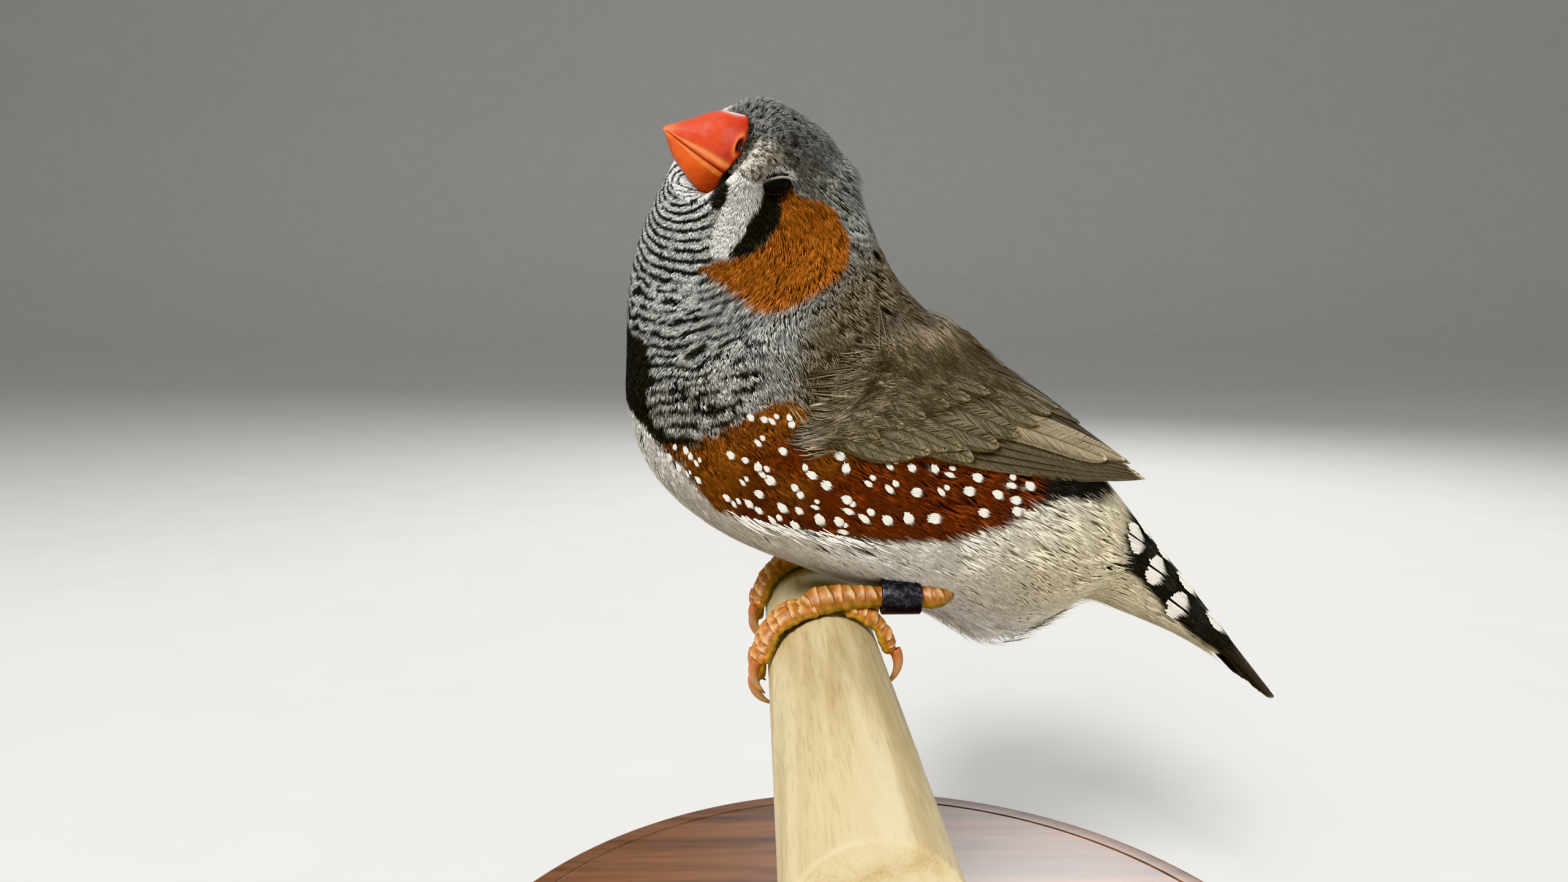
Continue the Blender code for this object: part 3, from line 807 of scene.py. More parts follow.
@dataclass
class Fans:
    """Feathers on a carpet, each a fan of strands from one root.

    The columns of growth are length, half width and depth of a strand in millimetres, strands to a
    feather, and feather width. Ragged is how far strands are moved along the lie, in lengths, and
    loose how much their headings differ.
    """

    carpet: Carpet
    unwrap: Callable
    paint: Callable
    rng: np.random.Generator
    ragged: float = 0.8
    loose: float = 1.0

    ROOT_SPREAD, MIDDLE_SPREAD, TIP_SPREAD = 0.35, 0.75, 0.25

    def grow(self, a: np.ndarray, b: np.ndarray, growth: np.ndarray, tilt: np.ndarray,
             lift: np.ndarray | float = 0.0) -> Grown:
        """Grow a fan at each root.

        Formula: a strand leaves the skin at its feather's root, runs along the lie for its length,
        spreads to its own side of the feather, and rises to the surface, plus the lift, at its tip.
        """
        rng, carpet = self.rng, self.carpet
        number = np.maximum(1, np.round(growth[:, 3]).astype(int))
        feather = np.repeat(np.arange(len(a)), number)
        count = len(feather)
        order = np.arange(count) - np.repeat(np.cumsum(number) - number, number)
        fan = (order + 0.5) / number[feather] * 2 - 1 + rng.normal(0, 0.06, count)
        tilt = tilt + rng.normal(0, 0.06, len(a)) * self.loose
        size = 1 + 0.12 * rng.normal(0, 1, len(a)).clip(-2, 2)
        tone = rng.normal(0, 1, len(a)).clip(-2, 2)
        raised = rng.random(len(a))[feather]
        a, b, growth = a[feather], b[feather], growth[feather]
        tilt, size, tone = tilt[feather], size[feather], tone[feather]
        lift = np.broadcast_to(lift, number.shape)[feather]
        length = growth[:, 0] * size * (1 - 0.22 * fan ** 2)
        length = length * (1 + 0.07 * rng.normal(0, 1, count).clip(-2, 2))
        half_width, depth = growth[:, 1], growth[:, 2]
        spread = growth[:, 4] / 2 * fan
        heading = tilt + 0.10 * fan + rng.normal(0, 0.025, count) * self.loose
        a, b = carpet.go(a, b, tilt, self.ragged * length * (rng.random(count) - 0.5))
        start = carpet.go(a, b, tilt, 0.2 * length * rng.random(count))
        square = tilt + pi / 2
        root = carpet.go(*start, square, self.ROOT_SPREAD * spread)
        middle = carpet.go(*carpet.go(a, b, heading, 0.5 * length), square, self.MIDDLE_SPREAD * spread)
        tip = carpet.go(*carpet.go(*middle, heading, 0.5 * length), square, self.TIP_SPREAD * spread)
        top = lift - 0.02 - 0.05 * raised - 0.05 * rng.random(count) * np.minimum(depth, 1)
        heights = (np.minimum(lift, 0) - depth - 0.05, top - 0.2 * depth - 0.4 * np.abs(lift), top)
        path = carpet.path([root, middle, tip], np.stack(heights))
        jitter = rng.normal(0, 1, (count, 3)).clip(-2.5, 2.5)
        colour, vary = self.paint(*carpet.go(*tip, heading, -0.1), jitter)
        before, _ = self.paint(*carpet.go(*tip, heading, -0.28 * length), jitter)
        light = np.clip(1 + vary * (0.6 * jitter[:, 2] + 0.25 * tone), 0.25, 2.2)[:, None]
        # Painted shade deepens from a strand's tip to its root: the middle is a little darker than the tip,
        # and the root much darker on dark plumage, less on pale.
        root_shade = 0.4 + 0.5 * smooth(before.mean(-1, keepdims=True) * 2.5 - 0.4)
        tint = np.stack([before * root_shade, before * light * 0.94, colour * light * 1.04], 1)
        widths = np.stack([half_width * 0.7, half_width * (1 + 0.1 * jitter[:, 0])], 1)
        ridge = Strands.RIDGE - 0.3 * smooth(before.mean(-1, keepdims=True) * 3 - 1.2)
        return Grown(a, b, path, carpet.normal(*middle), widths, tint, self.unwrap(*root), ridge, tip)


class Station(NamedTuple):
    """One cross-section of the body: its top and bottom points, half width and lean to the head."""

    name: str
    dorsal: tuple
    ventral: tuple
    half_width: float
    egg: float
    head_share: float


STATIONS = (
    Station("bill base", on_head((5.5, 0, 4.6)), on_head((7.4, 0, -6.3)), 5.2, -0.05, 1.00),
    Station("forehead", on_head((3.7, 0, 7.6)), (-19.6, -3.0, 59.4), 7.2, -0.02, 1.00),
    Station("crown", on_head((-0.9, -0.3, 8.2)), (-22.1, -1.4, 55.2), 8.1, 0.10, 1.00),
    Station("occiput", on_head((-7.2, -1.0, 7.7)), (-24.0, 0.2, 50.2), 9.4, 0.27, 0.90),
    Station("nape", (4.6, 6.2, 61.6), (-25.3, 0.4, 45.3), 11.6, 0.26, 0.55),
    Station("neck", (7.4, 3.2, 53.8), (-25.9, 0.4, 39.0), 14.4, 0.14, 0.22),
    Station("shoulder", (10.6, 0.6, 47.9), (-25.7, 0.0, 32.0), 16.6, 0.08, 0.00),
    Station("mantle", (17.6, 0.0, 41.3), (-22.6, 0.0, 23.6), 18.2, 0.06, 0.00),
    Station("back", (26.0, 0.0, 34.6), (-14.5, 0.0, 16.2), 18.8, 0.08, 0.00),
    Station("saddle", (32.8, 0.0, 28.4), (-2.5, 0.0, 10.9), 18.2, 0.10, 0.00),
    Station("thigh", (37.6, 0.0, 22.8), (10.5, 0.0, 6.0), 15.8, 0.02, 0.00),
    Station("vent", (41.0, 0.0, 18.6), (23.4, 0.0, 0.9), 10.8, -0.28, 0.00),
    Station("tail root", (44.0, 0.0, 14.6), (33.4, 0.0, 6.2), 7.9, -0.20, 0.00),
    Station("coverts", (49.2, 0.0, 8.5), (42.6, 0.0, 3.4), 6.8, 0.00, 0.00),
    Station("tail", (55.4, 0.0, 0.6), (52.2, 0.0, -1.5), 6.0, 0.00, 0.00),
    Station("tail tip", (62.4, 0.0, -7.9), (60.9, 0.0, -9.8), 3.8, 0.00, 0.00),
)


class BodyShape(Carpet):
    """The bird's outline at the tips of its coat, by station and angle.

    Stations below 0 run on over a rim that closes on the bill's base.
    """

    SOCKET_WIDTH = 3.6
    SOCKET_DEPTH = 1.05
    LID_PLANE = 6.35
    LID_REACH = 2.5
    RIM = 0.5
    RIM_DORSAL = on_head((6.2, 0.0, 3.4))
    RIM_VENTRAL = on_head((7.9, 0.0, -5.5))
    RIM_HALF_WIDTH = 3.0
    PULL = 0.9
    CORNER_PULL = 3.0
    LAST = 15.0

    def __init__(self) -> None:
        """Work out the table of the whole surface."""
        stations = np.linspace(-self.RIM, self.LAST, 776)[:, None]
        b_range = (0.0, 2 * pi)
        angles = np.linspace(*b_range, 361)[None, :]
        points = self.surface(stations, angles)
        super().__init__(points, (-self.RIM, self.LAST), b_range, points - points.mean(1, keepdims=True))
        self.table[:, 0] = self.table[:, -1] = (self.table[:, 0] + self.table[:, -1]) / 2

    def sample(self, a: np.ndarray, b: np.ndarray) -> np.ndarray:
        """Read all fields at places, with the angle wrapped round."""
        return super().sample(a, np.mod(b, 2 * pi))

    @classmethod
    def surface(cls, station: np.ndarray, angle: np.ndarray) -> np.ndarray:
        """Return points on the outline.

        Formula: a section is an ellipse between its dorsal and ventral points, wider towards the
        belly by its egg share, its width axis leaning with the head near the head. Round each eye
        the face is pressed in and made flat under the lids.
        """
        station, angle = np.broadcast_arrays(station, angle)
        rim = np.clip(-station / cls.RIM, 0, 1)[..., None]
        dorsal = through([s.dorsal for s in STATIONS], station) * (1 - rim) + cls.RIM_DORSAL * rim
        ventral = through([s.ventral for s in STATIONS], station) * (1 - rim) + cls.RIM_VENTRAL * rim
        half_width = through([s.half_width for s in STATIONS], station)
        half_width = half_width * (1 - rim[..., 0]) + cls.RIM_HALF_WIDTH * rim[..., 0]
        egg = through([s.egg for s in STATIONS], station)
        share = np.clip(through([s.head_share for s in STATIONS], station), 0, 1)[..., None]
        up = unit(dorsal - ventral)
        left = unit(share * HEAD_AXES[:, 1] + (1 - share) * LEFT)
        left = unit(left - (left * up).sum(-1, keepdims=True) * up)
        half_height = np.linalg.norm(dorsal - ventral, axis=-1) / 2
        rise = half_height * np.cos(angle)
        spread = half_width * np.sin(angle) * (1 - egg * np.cos(angle))
        points = (dorsal + ventral) / 2 + up * rise[..., None] + left * spread[..., None]
        below = np.where(angle > pi, 2 * pi - angle, angle) - radians(134)
        pull = cls.PULL * np.sin(angle) ** 2 + cls.CORNER_PULL * np.exp(-(below / radians(22)) ** 2)
        pull = pull * np.exp(-(np.maximum(station, 0) / 0.7) ** 2)
        points = points - HEAD_AXES[:, 0] * pull[..., None]
        for side in (1, -1):
            eye = on_head(EYE_FRONT * (1, side, 1))
            outward = side * HEAD_AXES[:, 1]
            reach = ((points - eye) ** 2).sum(-1)
            pressed = cls.SOCKET_DEPTH * np.exp(-reach / cls.SOCKET_WIDTH ** 2)
            points = points - outward * pressed[..., None]
            height = (points - HEAD_MIDDLE) @ outward
            share_flat = np.exp(-(reach / cls.LID_REACH ** 2) ** 2) * (height > 2.0)
            points = points + outward * ((cls.LID_PLANE - height) * share_flat)[..., None]
        return points

    @staticmethod
    def unwrap(station: np.ndarray, angle: np.ndarray) -> np.ndarray:
        """Return the place of each point on the skin's own unwrap, station up and angle across."""
        u = 0.01 + 0.98 * np.mod(angle / (2 * pi), 1.0)
        v = 0.01 + 0.98 * np.clip((station + BodyShape.RIM) / (BodyShape.LAST + BodyShape.RIM), 0, 1)
        return np.stack(np.broadcast_arrays(u, v), -1)


class WingShape(Carpet):
    """The outer face of the folded left wing, by place from shoulder to tip and share of its width."""

    LOWER = ((-0.6, -17.6, 37.4), (-1.2, -19.0, 31.8), (3.4, -19.3, 28.7), (12.6, -18.6, 27.2),
             (22.4, -16.2, 25.8), (31.4, -11.5, 24.4), (38.0, -6.8, 23.8), (43.0, -3.9, 23.4))
    UPPER = ((7.4, -11.4, 44.0), (14.0, -7.4, 42.9), (20.0, -5.4, 38.9), (25.6, -3.4, 36.0),
             (31.0, -1.6, 32.6), (35.6, -1.2, 29.4), (40.0, -1.6, 26.2), (43.4, -2.7, 23.8))
    BULGE = (0.9, 3.4, 4.3, 3.7, 2.4, 1.3, 0.5, 0.1)
    FIRST, LAST = -1.0, 7.0
    MARGIN = 0.3
    FRONT_CURL = 0.7

    def __init__(self) -> None:
        """Work out the table of the wing's outer face."""
        place = np.linspace(0, self.LAST, 281)
        t = np.linspace(-self.MARGIN, 1 + self.MARGIN, 161)
        points, outward = self.surface(place[:, None], t[None, :])
        ahead = np.linspace(self.FIRST, 0, 41)[:-1, None, None]
        slope = (points[4] - points[0]) / (place[4] - place[0])
        front = points[0] + ahead * slope - outward[0] * self.FRONT_CURL * ahead ** 2
        points = np.concatenate([front, points])
        outward = np.concatenate([np.broadcast_to(outward[0], front.shape), outward])
        super().__init__(points, (self.FIRST, self.LAST), (-self.MARGIN, 1 + self.MARGIN), outward)

    @staticmethod
    def unwrap(place: np.ndarray, t: np.ndarray) -> np.ndarray:
        """Return the place of each point on the wing's own unwrap."""
        u = 0.02 + 0.96 * np.clip((t + WingShape.MARGIN) / (1 + 2 * WingShape.MARGIN), 0, 1)
        v = 0.02 + 0.96 * np.clip((place - WingShape.FIRST) / (WingShape.LAST - WingShape.FIRST), 0, 1)
        return np.stack(np.broadcast_arrays(u, v), -1)

    @classmethod
    def surface(cls, place: np.ndarray, t: np.ndarray) -> tuple[np.ndarray, np.ndarray]:
        """Return points and outward directions.

        Formula: a straight line from the lower to the upper edge, bowed outwards by the bulge
        times 4 t (1 - t). The table runs on ahead of the shoulder, curling inwards.
        """
        place, t = np.broadcast_arrays(place, t)
        lower, upper = through(cls.LOWER, place), through(cls.UPPER, place)
        step = 0.02
        ahead = through(cls.LOWER, place + step) + through(cls.UPPER, place + step)
        behind = through(cls.LOWER, place - step) + through(cls.UPPER, place - step)
        outward = unit(np.cross(ahead - behind, upper - lower))
        outward = outward * np.sign(-outward[..., 1:2])
        arch = (through(cls.BULGE, place) * 4 * t * (1 - t))[..., None]
        share = t[..., None]
        return lower * (1 - share) + upper * share + outward * arch, outward


class Hue(Enum):
    """Colours of the plumage, as sRGB hex values."""

    CROWN = "#7E7D78"
    SPECKLE = "#262521"
    NAPE = "#908F89"
    LORE = "#C4BDAE"
    BRISTLE = "#2B2925"
    STRIPE = "#E9E8E3"
    BLACK = "#282723"
    CHEEK = "#925728"
    CHEEK_RED = "#874626"
    THROAT = "#C9C9C4"
    BREAST = "#A8A7A1"
    BELLY = "#F6F2E7"
    CREAM = "#F3E7C6"
    FLANK = "#6C3013"
    FLANK_ORANGE = "#9A6230"
    FLANK_DARK = "#4A1F0D"
    SPOT = "#C2BDB2"
    BACK = "#6E6555"
    WING = "#706452"
    COVERT = "#5B5342"
    COVERT_EDGE = "#7F7359"
    WING_EDGE = "#92866A"
    WING_PALE = "#B5A688"
    WING_DARK = "#3F372B"
    TERTIAL = "#7C705A"
    RUMP_PALE = "#C2BFB4"
    TAIL = "#2C261F"
    TAIL_EDGE = "#6D6150"

    @property
    def rgb(self) -> np.ndarray:
        """Return the colour as linear red, green and blue."""
        return np.array(linear(self.value))


@dataclass
class Canvas:
    """Places on the body being painted, with their colour and contrast so far.

    The station is s and the folded angle in degrees a. Reach is the millimetres for a step of
    each, jitter three small numbers for each place, and fray moves the marks' edges.
    """

    s: np.ndarray
    a: np.ndarray
    points: np.ndarray
    reach: tuple[np.ndarray, np.ndarray]
    jitter: np.ndarray
    fray: np.ndarray
    colour: np.ndarray
    vary: np.ndarray | float = 0.42

    def lay(self, colour: Hue | np.ndarray, share: np.ndarray, calm: float = 0.0) -> None:
        """Lay a colour over a share of each place, and calm the contrast in step with it."""
        over = colour.rgb if isinstance(colour, Hue) else colour
        self.colour = mixed(self.colour, over, share)
        self.vary = self.vary * (1 - calm * share)


class Markings:
    """The pattern of the plumage, the same for skin and coat, by place on the body.

    Each patch has an outline of (station, angle in degrees) on the left side, and the right side
    mirrors it. BROWN_FROM gives the station where the brown back starts by angle, and WHITE_FROM
    the angle where the white belly starts by station. A row of SPOT_ROWS is how many spots it has
    and the places that it runs through.
    """

    OUTLINES = {
        "flank": ((6.72, 143), (7.0, 139), (7.64, 143), (7.8, 141), (8.02, 136), (8.18, 130),
                  (8.48, 122), (8.88, 108), (9.18, 98), (9.28, 91), (9.4, 77), (9.36, 60),
                  (8.9, 50), (8.14, 68), (7.3, 84), (6.78, 92), (6.68, 99), (6.72, 112), (6.8, 128)),
        "cheek": ((2.7, 73), (3.05, 66), (3.45, 58), (3.75, 52), (4.1, 49), (4.5, 45), (4.8, 46),
                  (5.05, 52), (5.2, 62), (5.3, 76), (5.2, 87), (4.95, 95), (4.5, 104), (4.0, 114),
                  (3.35, 123), (2.95, 129), (3.02, 116), (3.3, 104), (3.35, 92), (3.2, 82)),
        "tear": ((2.35, 79), (2.7, 75), (2.95, 76), (3.12, 80), (3.3, 88), (3.38, 97), (3.3, 105),
                 (3.08, 112), (2.88, 107), (2.8, 102), (2.56, 96), (2.48, 88)),
        "gape": ((-0.2, 118), (-0.2, 105), (0.85, 106), (1.45, 108), (1.66, 114), (1.35, 121),
                 (0.85, 120)),
        "stripe": ((0.5, 104), (1.45, 107), (1.75, 112), (1.98, 115), (2.2, 118), (2.5, 121),
                   (2.7, 122), (3.04, 113), (2.9, 108), (2.84, 102), (2.62, 96), (2.54, 88),
                   (2.42, 82), (2.1, 79), (1.65, 85), (1.0, 95)),
        "lore": ((-0.4, 48), (0.15, 49), (1.3, 54), (1.75, 55), (2.15, 60), (2.3, 67), (2.2, 75),
                 (2.05, 83), (1.65, 89), (0.9, 99), (-0.2, 108), (-0.4, 90)),
        "breast": ((4.5, 200), (4.55, 168), (4.9, 152), (5.32, 144), (6.2, 146), (6.5, 140),
                   (6.66, 128), (6.8, 130), (6.76, 140), (6.4, 152), (6.1, 165), (6.0, 200)),
    }
    STEPS = 6
    CHIN = on_head((7.0, 0.0, -4.6))
    SPOT_SEED = 5
    SPOT_SIZE, SPOT_GROWTH = 0.56, 0.2
    SPOT_SCATTER = (0.025, 1.0)
    PAIRED_SHARE = 0.2
    EYE_RIM = (2.35, 1.75)
    BAR_START = 1.2
    BAR_FIRST = 0.70
    BAR_GROWTH = 0.048
    BAR_LARGEST = 1.5
    BROWN_FROM = ((0, 5.0), (19, 5.1), (47, 5.25), (58, 5.5), (69, 5.8), (79, 6.15), (87, 6.5),
                  (110, 7.6))
    WHITE_FROM = ((5.9, 172), (6.34, 153), (6.68, 145), (7.0, 139), (7.64, 142), (8.18, 130),
                  (8.48, 122), (8.88, 108), (9.18, 98), (9.3, 80), (9.45, 62), (9.62, 52),
                  (10.1, 38), (10.45, 8), (10.85, 6), (11.1, 46), (12.22, 84), (12.88, 98), (13.66, 119),
                  (15.0, 150))
    SPOT_ROWS = (
        (7, ((7.84, 87), (8.36, 74), (9.2, 58))),
        (12, ((6.8, 97), (7.3, 94), (7.8, 93), (8.3, 88), (8.7, 77), (9.2, 65))),
        (13, ((6.9, 109), (7.4, 103), (7.8, 103), (8.2, 105), (8.5, 101), (8.86, 88), (9.38, 68))),
        (8, ((6.98, 118), (7.3, 115), (7.6, 112), (8.0, 111))),
        (7, ((7.3, 125), (7.8, 119), (8.14, 116), (8.5, 112))),
        (7, ((7.5, 133), (7.7, 129), (8.0, 126), (8.35, 121))),
        (4, ((6.66, 138), (6.85, 132), (7.1, 130))),
        (5, ((6.7, 106), (6.86, 98), (7.15, 91))),
        (4, ((6.76, 145), (7.0, 139), (7.3, 137))),
    )

    def __init__(self, body: BodyShape) -> None:
        """Turn each outline into a smooth closed curve."""
        self.body = body
        self.curves = {}
        for name, corners in self.OUTLINES.items():
            count = len(corners)
            wrapped = np.array(corners * 3, float)
            place = np.linspace(count, 2 * count, count * self.STEPS, endpoint=False)
            self.curves[name] = through(wrapped, place)
        self.ovals = self.place_ovals()

    def inside(self, name: str, at: Canvas, softness: float,
               rough: np.ndarray | float = 1.0) -> np.ndarray:
        """Return how far each place is covered by an outline's patch, from 0 to 1.

        Formula: the distance in millimetres from the outline, positive inside it, moved by the fray
        and eased over the softness.

        Args:
            name: the outline.
            at: the places.
            softness: the width of the patch's edge, in millimetres.
            rough: how much of the fray its edge takes.
        """
        curve = self.curves[name]
        nearest = np.full(at.s.shape, 1e9)
        odd = np.zeros(at.s.shape, bool)
        for (s0, a0), (s1, a1) in zip(curve, np.roll(curve, -1, axis=0)):
            ux, uy = (s1 - s0) * at.reach[0], (a1 - a0) * at.reach[1]
            px, py = (at.s - s0) * at.reach[0], (at.a - a0) * at.reach[1]
            t = np.clip((px * ux + py * uy) / np.maximum(ux * ux + uy * uy, 1e-9), 0, 1)
            nearest = np.minimum(nearest, (px - t * ux) ** 2 + (py - t * uy) ** 2)
            if a0 != a1:
                crossing = (at.a > min(a0, a1)) & (at.a <= max(a0, a1))
                odd ^= crossing & (at.s < s0 + (at.a - a0) / (a1 - a0) * (s1 - s0))
        depth = np.sqrt(nearest) * np.where(odd, 1.0, -1.0)
        return smooth((depth + rough * at.fray) / softness + 0.5)

    def bars(self, points: np.ndarray) -> tuple[np.ndarray, np.ndarray, np.ndarray]:
        """Return each point's distance from the nearest bar's middle, in halves of the spacing.

        Two more values go with it: one rises from 0 at the bill to 1 where bars begin, and one from
        0 on the throat, where they are neat, to 1 on the breast.

        Formula: the spacing grows with the distance from the chin, so the bar number is the
        logarithm of that distance until the largest spacing is reached, and a straight line after.
        """
        away = np.maximum(np.linalg.norm(points - self.CHIN, axis=-1) - self.BAR_START, 0)
        near = smooth((away - 0.9) / 1.0)
        far = smooth((away - 8) / 9)
        away = away + 0.35 * (1 - smooth((away - 1.5) / 2)) * ripple(points, 0.9, 14)
        away = away + 0.9 * far * ripple(points, 3.2, 3) + (0.07 + 0.26 * far) * ripple(points, 1.1, 4)
        turning = (self.BAR_LARGEST - self.BAR_FIRST) / self.BAR_GROWTH
        grown = np.log1p(np.minimum(away, turning) * self.BAR_GROWTH / self.BAR_FIRST)
        number = grown / self.BAR_GROWTH + np.maximum(away - turning, 0) / self.BAR_LARGEST
        return np.abs(number - np.floor(number) - 0.5) * 2, near, far

    @staticmethod
    def eye_place(points: np.ndarray) -> tuple[np.ndarray, np.ndarray]:
        """Return places along and across the near eye's opening, far off for points not near it."""
        head = in_head(points)
        away = head * (1, 0, 1) + np.abs(head) * (0, 1, 0) - EYE_FRONT
        x, y = away @ Eye.LONG_WAY, away @ Eye.SHORT_WAY
        return np.where(away[..., 1] > -3.0, x, 99.0), y

    def place_ovals(self) -> list[tuple]:
        """Return each spot's station, angle, lean, half length and half width.

        Formula: sites are spread evenly along each row with a little scatter, and a few carry a
        pair of small ovals side by side instead of one.
        """
        rng = np.random.default_rng(self.SPOT_SEED)
        ovals = []
        for count, corners in self.SPOT_ROWS:
            for share in (np.arange(count) + 0.5) / count:
                s, a = through(corners, share * (len(corners) - 1))
                s, a = (value + rng.normal(0, scatter) for value, scatter in zip((s, a), self.SPOT_SCATTER))
                size = self.SPOT_SIZE + self.SPOT_GROWTH * smooth((s - 6.9) / 2) + rng.normal(0, 0.09)
                lean = rng.normal(0, 0.35)
                if rng.random() < self.PAIRED_SHARE:
                    for half in (-1, 1):
                        beside = self.body.go(np.array(s), radians(a), lean + pi / 2, half * 0.7 * size)
                        ovals.append((*map(float, beside), lean, (1.0 + 0.2 * half) * size, 0.48 * size))
                else:
                    ovals.append((s, radians(a), lean, 1.15 * size, 0.72 * size))
        return ovals

    def spots(self, station: np.ndarray, angle: np.ndarray) -> np.ndarray:
        """Return 1 inside the flank's white spots and 0 outside, easing at their edges."""
        best = np.zeros(station.shape)
        a = folded(angle)
        near = (station > 6.5) & (station < 9.7) & (a > 50) & (a < 145)
        s, a = station[near], np.radians(a[near])
        fields = self.body.sample(s, a)
        inner = np.zeros(s.shape)
        for s0, a0, lean, long, wide in self.ovals:
            x = (s - s0) * fields[..., Carpet.REACH_A] + (a - a0) * fields[..., Carpet.SLIP]
            y = (a - a0) * fields[..., Carpet.REACH_B]
            x, y = x * cos(lean) + y * sin(lean), y * cos(lean) - x * sin(lean)
            inner = np.maximum(inner, smooth((1.1 - np.hypot(x / long, y / wide)) / 0.2))
        best[near] = inner
        return best

    def paint(self, station: np.ndarray, angle: np.ndarray,
              jitter: np.ndarray | None = None) -> tuple[np.ndarray, np.ndarray]:
        """Return the colour at places and how much single strands vary there.

        Args:
            station: stations.
            angle: angles in radians.
            jitter: three small numbers for each place that fray the edges of the marks, or none for
                the bare skin, which also carries the flank's spots.
        """
        fields = self.body.sample(station, angle)
        points = fields[..., Carpet.POINT]
        spot = self.spots(station, angle) if jitter is None else np.zeros(points.shape[:-1])
        jitter = np.zeros(points.shape) if jitter is None else jitter
        fray = 0.14 * jitter[..., 0] + 0.16 * ripple(points, 0.55, 1) + 0.12 * ripple(points, 1.8, 2)
        reach = (fields[..., Carpet.REACH_A], np.abs(fields[..., Carpet.REACH_B]) * pi / 180)
        at = Canvas(station, folded(np.mod(angle, 2 * pi)), points, reach, jitter, fray,
                    np.broadcast_to(Hue.NAPE.rgb, points.shape))
        self.paint_crown(at)
        brown = smooth(at.s - read(self.BROWN_FROM, at.a) + 0.62)
        at.lay(Hue.BACK.rgb * 1.02, brown, calm=0.3)
        self.paint_breast(at, brown)
        self.paint_belly(at)
        self.paint_flank(at, spot)
        self.paint_face(at)
        return at.colour, at.vary

    @staticmethod
    def paint_crown(at: Canvas) -> None:
        """Paint nape and crown: pale grey with dark flecks, finer and fainter towards the nape."""
        s, a = at.s, at.a
        at.vary = at.vary - 0.2 * smooth((s - 3.6) / 0.8) * smooth((100 - a) / 20)
        at.colour = at.colour * (1 - 0.38 * smooth((s - 4.2) / 1.3))[..., None]
        at.lay(Hue.CROWN, smooth((3.8 - s) / 1.2) * smooth((95 - a) / 20))
        fleck = smooth((ripple(at.points * (1.0, 1.0, 1.4), 0.62, 5) - 0.12) / 0.25)
        at.lay(Hue.SPECKLE, 0.65 * fleck * smooth((4.4 - s) / 2.5) * smooth((80 - a) / 25))

    def paint_breast(self, at: Canvas, brown: np.ndarray) -> None:
        """Paint the barred throat and breast and the black breast patch, short of the brown back."""
        s, a = at.s, at.a
        throat = smooth((a - 112) / 14) * smooth((4.6 - s) / 0.8)
        breast = smooth((a - 66) / 24) * smooth((s - 2.9) / 0.8) * (1 - brown)
        ground = mixed(Hue.BREAST.rgb, Hue.THROAT.rgb, smooth((5.2 - s) / 3.4))
        at.lay(ground, np.maximum(throat, breast))
        at.vary = at.vary * (1 - breast) + 0.5 * breast
        between, near, far = self.bars(at.points)
        wide = 0.40 + 0.06 * far + (0.08 + 0.12 * far) * ripple(at.points, 1.2, 12)
        bar = smooth((wide + 0.06 * at.jitter[..., 1] - between) / 0.14 + 0.5)
        broken = smooth(1.3 - 0.28 * far + (1.1 + 0.3 * far) * ripple(at.points, 1.5, 6))
        strength = 1.25 * near * np.maximum(throat, breast * smooth((a - 82) / 18)) * broken
        at.lay(Hue.BLACK, np.clip(bar * strength, 0, 1))
        at.lay(Hue.BLACK, self.inside("breast", at, 0.4))

    def paint_belly(self, at: Canvas) -> None:
        """Paint the white belly, the cream vent and the black rump with its pale middle."""
        s, a = at.s, at.a
        below = (a - read(self.WHITE_FROM, s)) * at.reach[1] + 1.6 * at.fray
        white = smooth(below / 0.5 + 0.5) * smooth((s - 5.9) / 0.05)
        cream = smooth((s - 8.6) / 2.2) * smooth((150 - a) / 60) + smooth((s - 11) / 1.0)
        black = smooth((s - 9.15) / 0.1) * (1 - white)
        at.lay(Hue.BLACK, black, calm=0.7)
        at.lay(Hue.RUMP_PALE, black * smooth((16 - a) / 6) * smooth((10.9 - s) / 0.4))
        at.lay(mixed(Hue.BELLY.rgb, Hue.CREAM.rgb, np.clip(cream, 0, 1)), white, calm=0.85)

    def paint_flank(self, at: Canvas, spot: np.ndarray) -> None:
        """Paint the chestnut flank, with its white spots where a share is given."""
        flank = self.inside("flank", at, 0.35, 1.0 + 2.0 * smooth((at.a - 100) / 15))
        warm = smooth(0.5 + 0.7 * ripple(at.points, 4.5, 7) + 0.9 * (7.6 - at.s))
        shade = smooth(0.35 + 0.6 * ripple(at.points, 2.6, 8))
        chestnut = mixed(Hue.FLANK.rgb, Hue.FLANK_ORANGE.rgb, 0.65 * warm)
        chestnut = mixed(chestnut, Hue.FLANK_DARK.rgb, 0.5 * shade)
        at.lay(mixed(chestnut, Hue.SPOT.rgb, spot), flank, calm=1.0)
        at.vary = at.vary + flank * (0.26 - 0.16 * spot)

